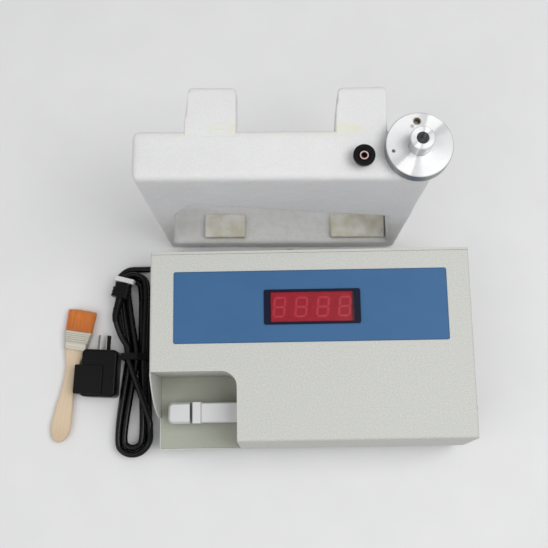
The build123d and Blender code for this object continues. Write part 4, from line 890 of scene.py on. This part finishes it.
def make_glue_beads():
    """Dried glue that squeezed out along the bars' top seams."""
    draw = random.Random(5)
    work = bmesh.new()
    for left in BAR_LEFTS:
        for _ in range(BEADS_ON_BAR):
            x = left + (0.3 + 0.45 * draw.random()) * BAR_WIDTH
            y = FOAM_BACK + draw.uniform(-1.2, 1.2)
            radius = draw.uniform(0.3, 0.6)
            flat = Matrix.Diagonal((draw.uniform(1.0, 3.4), 1.0, 0.7, 1.0))
            place = Matrix.Translation((x, y, BEAD_HEIGHT)) @ flat
            bmesh.ops.create_icosphere(work, subdivisions=2, radius=radius, matrix=place)
    mesh = bpy.data.meshes.new("glue_beads")
    work.to_mesh(mesh)
    work.free()
    keep("glue_beads", mesh, "foam", "foam_cap", glue_bead(), FOAM_PLACE)


# ------------------------------------------------------------------ brush
BRUSH_PLACE = standing(*BRUSH_STAND)

# In the brush's own frame X runs from the bristles' tips to the handle's end.
BRISTLE_ROWS = 15
BRISTLE_COLUMNS = 92
BRISTLE_WIDTH = 28.0
BRISTLE_THICKNESS = 7.6
BRISTLE_ROOT = 27.0
BRISTLE_SPREAD = 0.07

# A hair's rings: how far they are from root to tip, and their radii.
HAIR_RINGS = ((0.0, 0.17), (0.5, 0.15), (0.88, 0.11))

# A solid core under the hairs closes the gaps between them: place and half width of its rings.
CORE_RINGS = ((2.2, 12.9), (8.0, 13.2), (26.5, 13.3))
CORE_HALF_HEIGHT = 3.1

FERRULE_START = 25.0
FERRULE_END = 45.0
FERRULE_WIDTH = 30.6
FERRULE_NARROWING = 6.8
FERRULE_HALF_HEIGHT = 5.0
FERRULE_CORNER = 2.4
FERRULE_WALL = 0.7
RIDGES = 5
RIDGE_START = 27.4
RIDGE_PITCH = 2.2
RIVETS = ((33.0, -8.5), (33.0, 8.5))
RIVET_HEIGHT = 4.75
RIVET_RADIUS = 0.75

# Half widths of the handle up to its belly, from where it ends in half an oval.
HANDLE_SIDE = (
    (33.0, 10.4),
    (45.5, 10.7),
    (51.5, 10.0),
    (57.0, 8.1),
    (65.0, 6.6),
    (74.0, 6.1),
    (90.0, 6.9),
    (110.0, 9.2),
    (126.0, 10.5),
)
HANDLE_START = HANDLE_SIDE[0][0]
HANDLE_BELLY, HANDLE_HALF_WIDTH = HANDLE_SIDE[-1]
HANDLE_END = 144.0
HANDLE_HALF_HEIGHT = 3.0


def make_bristles():
    """A bundle of fine tapered hairs, each a little bent, round a core."""
    draw = random.Random(11)
    points, faces = [], []
    for row in range(BRISTLE_ROWS):
        for column in range(BRISTLE_COLUMNS):
            y = ((column + draw.random()) / BRISTLE_COLUMNS - 0.5) * BRISTLE_WIDTH
            z = ((row + draw.random()) / BRISTLE_ROWS - 0.5) * BRISTLE_THICKNESS
            tip_x = draw.uniform(0.0, 1.8) + 0.9 * (2 * y / BRISTLE_WIDTH) ** 2
            lean_y = y * BRISTLE_SPREAD + draw.uniform(-0.7, 0.7)
            lean_z = z * BRISTLE_SPREAD + draw.uniform(-0.4, 0.4)
            start = len(points)
            for share, radius in HAIR_RINGS:
                x = BRISTLE_ROOT + (tip_x - BRISTLE_ROOT) * share
                bend = share * share
                for corner in range(3):
                    angle = math.tau * corner / 3 + column
                    oy = y + lean_y * bend + radius * math.cos(angle)
                    oz = z + lean_z * bend + radius * math.sin(angle)
                    points.append((x, oy, oz))
            points.append((tip_x, y + lean_y, z + lean_z))
            for ring in (0, 3):
                for corner in range(3):
                    after = (corner + 1) % 3
                    quad = (ring + corner, ring + after, ring + 3 + after, ring + 3 + corner)
                    faces.append(tuple(start + step for step in quad))
            for corner in range(3):
                faces.append((start + 6 + corner, start + 6 + (corner + 1) % 3, start + 9))
    core_rings = [oval(x, half, CORE_HALF_HEIGHT, power=8.0, count=32) for x, half in CORE_RINGS]
    core = rings_mesh("core", core_rings)
    first = len(points)
    points += [vertex.co.copy() for vertex in core.vertices]
    faces += [tuple(first + index for index in face.vertices) for face in core.polygons]
    bpy.data.meshes.remove(core)
    mesh = bpy.data.meshes.new("bristles")
    mesh.from_pydata(points, [], faces)
    piece = keep("bristles", mesh, "bristle", "brush", place=BRUSH_PLACE)
    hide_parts("brush_bristles")


def ferrule_half_width(x):
    """Half width of the ferrule at a place along the brush."""
    share = (x - FERRULE_START) / (FERRULE_END - FERRULE_START)
    return (FERRULE_WIDTH - FERRULE_NARROWING * share) / 2


def make_ferrule():
    """Flattened tin sleeve with its folded lip, five pressed ridges and two rivets."""
    outline = [(FERRULE_START, -0.25), (25.3, 0.0), (26.4, 0.0), (26.8, -0.15)]
    for step in range(RIDGES):
        start = RIDGE_START + RIDGE_PITCH * step
        outline += [(start, -0.15), (start + 0.35, 0.35), (start + 0.65, 0.35), (start + 1.0, -0.15)]
    outline += [(42.6, -0.15), (44.7, -0.1), (FERRULE_END, -0.3)]
    rings = []
    for x, rise in outline:
        half = ferrule_half_width(x) + min(rise, 0.0)
        rings.append(flat_ring(x, half, FERRULE_HALF_HEIGHT + rise, FERRULE_CORNER))
    for x in (FERRULE_END, FERRULE_START):
        half = ferrule_half_width(x) - FERRULE_WALL
        rings.append(flat_ring(x, half, FERRULE_HALF_HEIGHT - FERRULE_WALL, corner=1.8))
    mesh = rings_mesh("ferrule", rings, loop=True)
    work = bmesh.new()
    work.from_mesh(mesh)
    for x, y in RIVETS:
        place = Matrix.Translation((x, y, RIVET_HEIGHT))
        bmesh.ops.create_uvsphere(work, u_segments=16, v_segments=8, radius=RIVET_RADIUS, matrix=place)
    work.to_mesh(mesh)
    work.free()
    piece = keep("ferrule", mesh, "tinplate", "brush", place=BRUSH_PLACE)
    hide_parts("brush_ferrule")


def handle_half_width(x):
    """Half width of the handle at a place along the brush."""
    if x > HANDLE_BELLY:
        share = (x - HANDLE_BELLY) / (HANDLE_END - HANDLE_BELLY)
        return HANDLE_HALF_WIDTH * math.sqrt(1 - share * share)
    for (x0, y0), (x1, y1) in zip(HANDLE_SIDE, HANDLE_SIDE[1:]):
        if x <= x1:
            share = (x - x0) / (x1 - x0)
            share = share * share * (3 - 2 * share)
            return y0 + (y1 - y0) * share


def make_handle():
    """Flat wooden handle with rounded edges."""
    stations = [HANDLE_START + 1.5 * step for step in range(69)]
    stations += [136.5 + 0.5 * step for step in range(15)]
    stations += [HANDLE_END - 0.25, HANDLE_END - 0.05]
    rings = []
    for x in stations:
        half = max(handle_half_width(x), 0.4)
        thinning = min(1.0, max(0.25, half / 4.0))
        rings.append(oval(x, half, HANDLE_HALF_HEIGHT * thinning, power=4.0))
    piece = keep("handle", rings_mesh("handle", rings), "pale_wood", "brush", place=BRUSH_PLACE)
    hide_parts("brush_handle")


# ------------------------------------------------------------------ hand wheel
# Section of the lining in the wheel's crank hole: heights and radii, the outer two by its wall.
RESIDUE_SIDE = ((261.0, 2.58), (264.2, 2.58), (264.3, 2.3), (263.5, 1.9), (262.4, 1.6), (261.2, 1.8))
RESIDUE_WALL = 2.5
RESIDUE_STEPS = 24


def make_residue():
    """Dried thread grease that lines the wheel's crank hole, lumpy on its inside."""
    x, y = CRANK_HOLE
    draw = random.Random(3)
    turns = [math.tau * step / RESIDUE_STEPS for step in range(RESIDUE_STEPS)]
    rings = []
    for height, radius in RESIDUE_SIDE:
        ring = []
        for turn in turns:
            r = radius - (draw.uniform(0.0, 0.25) if radius < RESIDUE_WALL else 0.0)
            ring.append(Vector((x + r * math.cos(turn), y + r * math.sin(turn), height)))
        rings.append(ring)
    mesh = rings_mesh("thread_residue", rings, loop=True)
    tones = paint(40, 32, 24), paint(112, 92, 58)
    finish = plain_finish("thread_residue", *tones, 0.7, (0.3, 0.6), 0.3)
    keep("thread_residue", mesh, "aluminium", "hand_wheel", finish)


# ------------------------------------------------------------------ display segments
# The display's middle in plan, and the shape of its four figures.
DISPLAY_CENTRE = (1.6, 38.8)
DIGITS = 4
DIGIT_PITCH = 21.0
DIGIT_HEIGHT = 20.3
DIGIT_WIDTH = 10.2
DIGIT_SLANT = math.tan(math.radians(6.0))
SEGMENT_WIDTH = 2.1
SEGMENT_THICKNESS = 0.12


def segment(work, cx, cy, length, upright):
    """One slanted segment with pointed ends, as a flat face."""
    half, end = length / 2 - 0.25, SEGMENT_WIDTH / 2
    upper = [(-half, 0), (-half + end, end), (half - end, end)]
    corners = []
    for along, across in upper + [(-along, -across) for along, across in upper]:
        x, y = (across, along) if upright else (along, across)
        corners.append(work.verts.new((cx + x + (cy + y) * DIGIT_SLANT, cy + y, 0.0)))
    return work.faces.new(corners)


def make_segments():
    """Seven slanted segments on each digit's face."""
    work = bmesh.new()
    faces = []
    step = (DIGIT_HEIGHT - SEGMENT_WIDTH) / 2
    for index in range(DIGITS):
        start = len(work.verts)
        for height in (-step, 0.0, step):
            faces.append(segment(work, 0.0, height, DIGIT_WIDTH, False))
        for side in (-1, 1):
            for level in (-1, 1):
                faces.append(segment(work, side * DIGIT_WIDTH / 2, level * step / 2, step, True))
        work.verts.ensure_lookup_table()
        for vertex in list(work.verts)[start:]:
            vertex.co.x += DISPLAY_CENTRE[0] + (index - (DIGITS - 1) / 2) * DIGIT_PITCH
            vertex.co.y += DISPLAY_CENTRE[1]
    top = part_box("display_digits")[1].z / MM
    made = bmesh.ops.extrude_face_region(work, geom=faces)
    for element in made["geom"]:
        if isinstance(element, bmesh.types.BMVert):
            element.co.z += SEGMENT_THICKNESS
    for vertex in work.verts:
        vertex.co.z += top + 0.01
    bmesh.ops.recalc_face_normals(work, faces=work.faces)
    mesh = bpy.data.meshes.new("segments")
    work.to_mesh(mesh)
    work.free()
    keep("segments", mesh, "digit_module", "tester", digit_segment(), smooth=False)


# ------------------------------------------------------------------ stage, lamps and camera
# In metres. The floor lies a little low, so that nothing shares a plane with it.
FLOOR_REACH = 30.0
FLOOR_HEIGHT = -0.0004
LAMP_TARGET = Vector((0.0, 0.0, 0.1))

# Each lamp's name, place, side and power in watts.
LAMPS = (
    ("key", (0.66, -0.02, 1.66), 0.9, 13.8),
    ("fill", (-0.9, -0.5, 1.5), 1.2, 6.0),
)


def make_stage():
    """Pale floor."""
    mesh = bpy.data.meshes.new("floor")
    corners = [(x * FLOOR_REACH, y * FLOOR_REACH, 0) for x, y in ((-1, -1), (1, -1), (1, 1), (-1, 1))]
    mesh.from_pydata(corners, [], [(0, 1, 2, 3)])
    floor = bpy.data.objects.new("floor", mesh)
    floor.location.z = FLOOR_HEIGHT
    bpy.context.scene.collection.objects.link(floor)
    finish = Finish("floor", roughness=0.8, Specular_IOR_Level=0.1)
    speck = finish.noise(0.02, 2.0)
    finish.colour(paint(226, 226, 226), paint(232, 232, 232), speck)
    mesh.materials.append(finish.material)


def make_lamp(name, place, size, power):
    """A soft square lamp that faces the tester."""
    data = bpy.data.lights.new(name, "AREA")
    data.shape = "SQUARE"
    data.size = size
    data.energy = power
    lamp = bpy.data.objects.new(name, data)
    lamp.location = place
    lamp.rotation_euler = (LAMP_TARGET - Vector(place)).to_track_quat("-Z", "Y").to_euler()
    bpy.context.scene.collection.objects.link(lamp)


def make_world():
    """Even pale surroundings."""
    world = bpy.data.worlds.new("studio")
    bpy.context.scene.world = world
    world.use_nodes = True
    background = world.node_tree.nodes["Background"]
    background.inputs["Color"].default_value = (0.98, 0.985, 1.0, 1.0)
    background.inputs["Strength"].default_value = 0.5


# The camera's turn is an axis whose length is the angle in degrees.
CAMERA_PLACE = (-28.8, -85.5, 912.8)
CAMERA_TURN = (-11.08, 0.51, -0.99)
CAMERA_LENS = 55.23
CAMERA_SENSOR = 36.0


def make_camera():
    """Camera above the tester, as it was photographed."""
    data = bpy.data.cameras.new("camera")
    data.lens = CAMERA_LENS
    data.sensor_width = CAMERA_SENSOR
    camera = bpy.data.objects.new("camera", data)
    turn = Vector(CAMERA_TURN)
    flip = Matrix.Diagonal((1.0, -1.0, -1.0))
    to_camera = Matrix.Rotation(math.radians(turn.length), 3, turn.normalized()) @ flip
    rotation = (to_camera.transposed() @ flip).to_4x4()
    camera.matrix_world = Matrix.Translation(Vector(CAMERA_PLACE) * MM) @ rotation
    bpy.context.scene.collection.objects.link(camera)
    bpy.context.scene.camera = camera


# ------------------------------------------------------------------ the whole scene
def main():
    """Dresses the CAD's pieces, sets the stage and adds the pieces that only the scene has."""
    dress_nodes()
    make_stage()
    make_world()
    for lamp in LAMPS:
        make_lamp(*lamp)
    make_camera()
    lead, route = make_mains_lead()
    gland = make_relief("gland_relief", route, *GLAND_RELIEF, "black_plastic")
    tail = make_relief("plug_relief", route[::-1], *PLUG_RELIEF, "plug_black")
    foam_piece("foam_block", "foam_frame", "foam", voxel=2.2, unevenness=0.9, rounding=20)
    foam_piece("foam_bars_cut", "foam_bars", "foam", voxel=2.0, unevenness=0.8, sink=True)
    foam_piece("foam_pads_cut", "foam_pads", "foam_tan", voxel=1.1, unevenness=0.6)
    make_glue_beads()
    make_bristles()
    make_ferrule()
    make_handle()
    make_residue()
    make_segments()


main()
bpy.context.scene.view_settings.view_transform = "Standard"
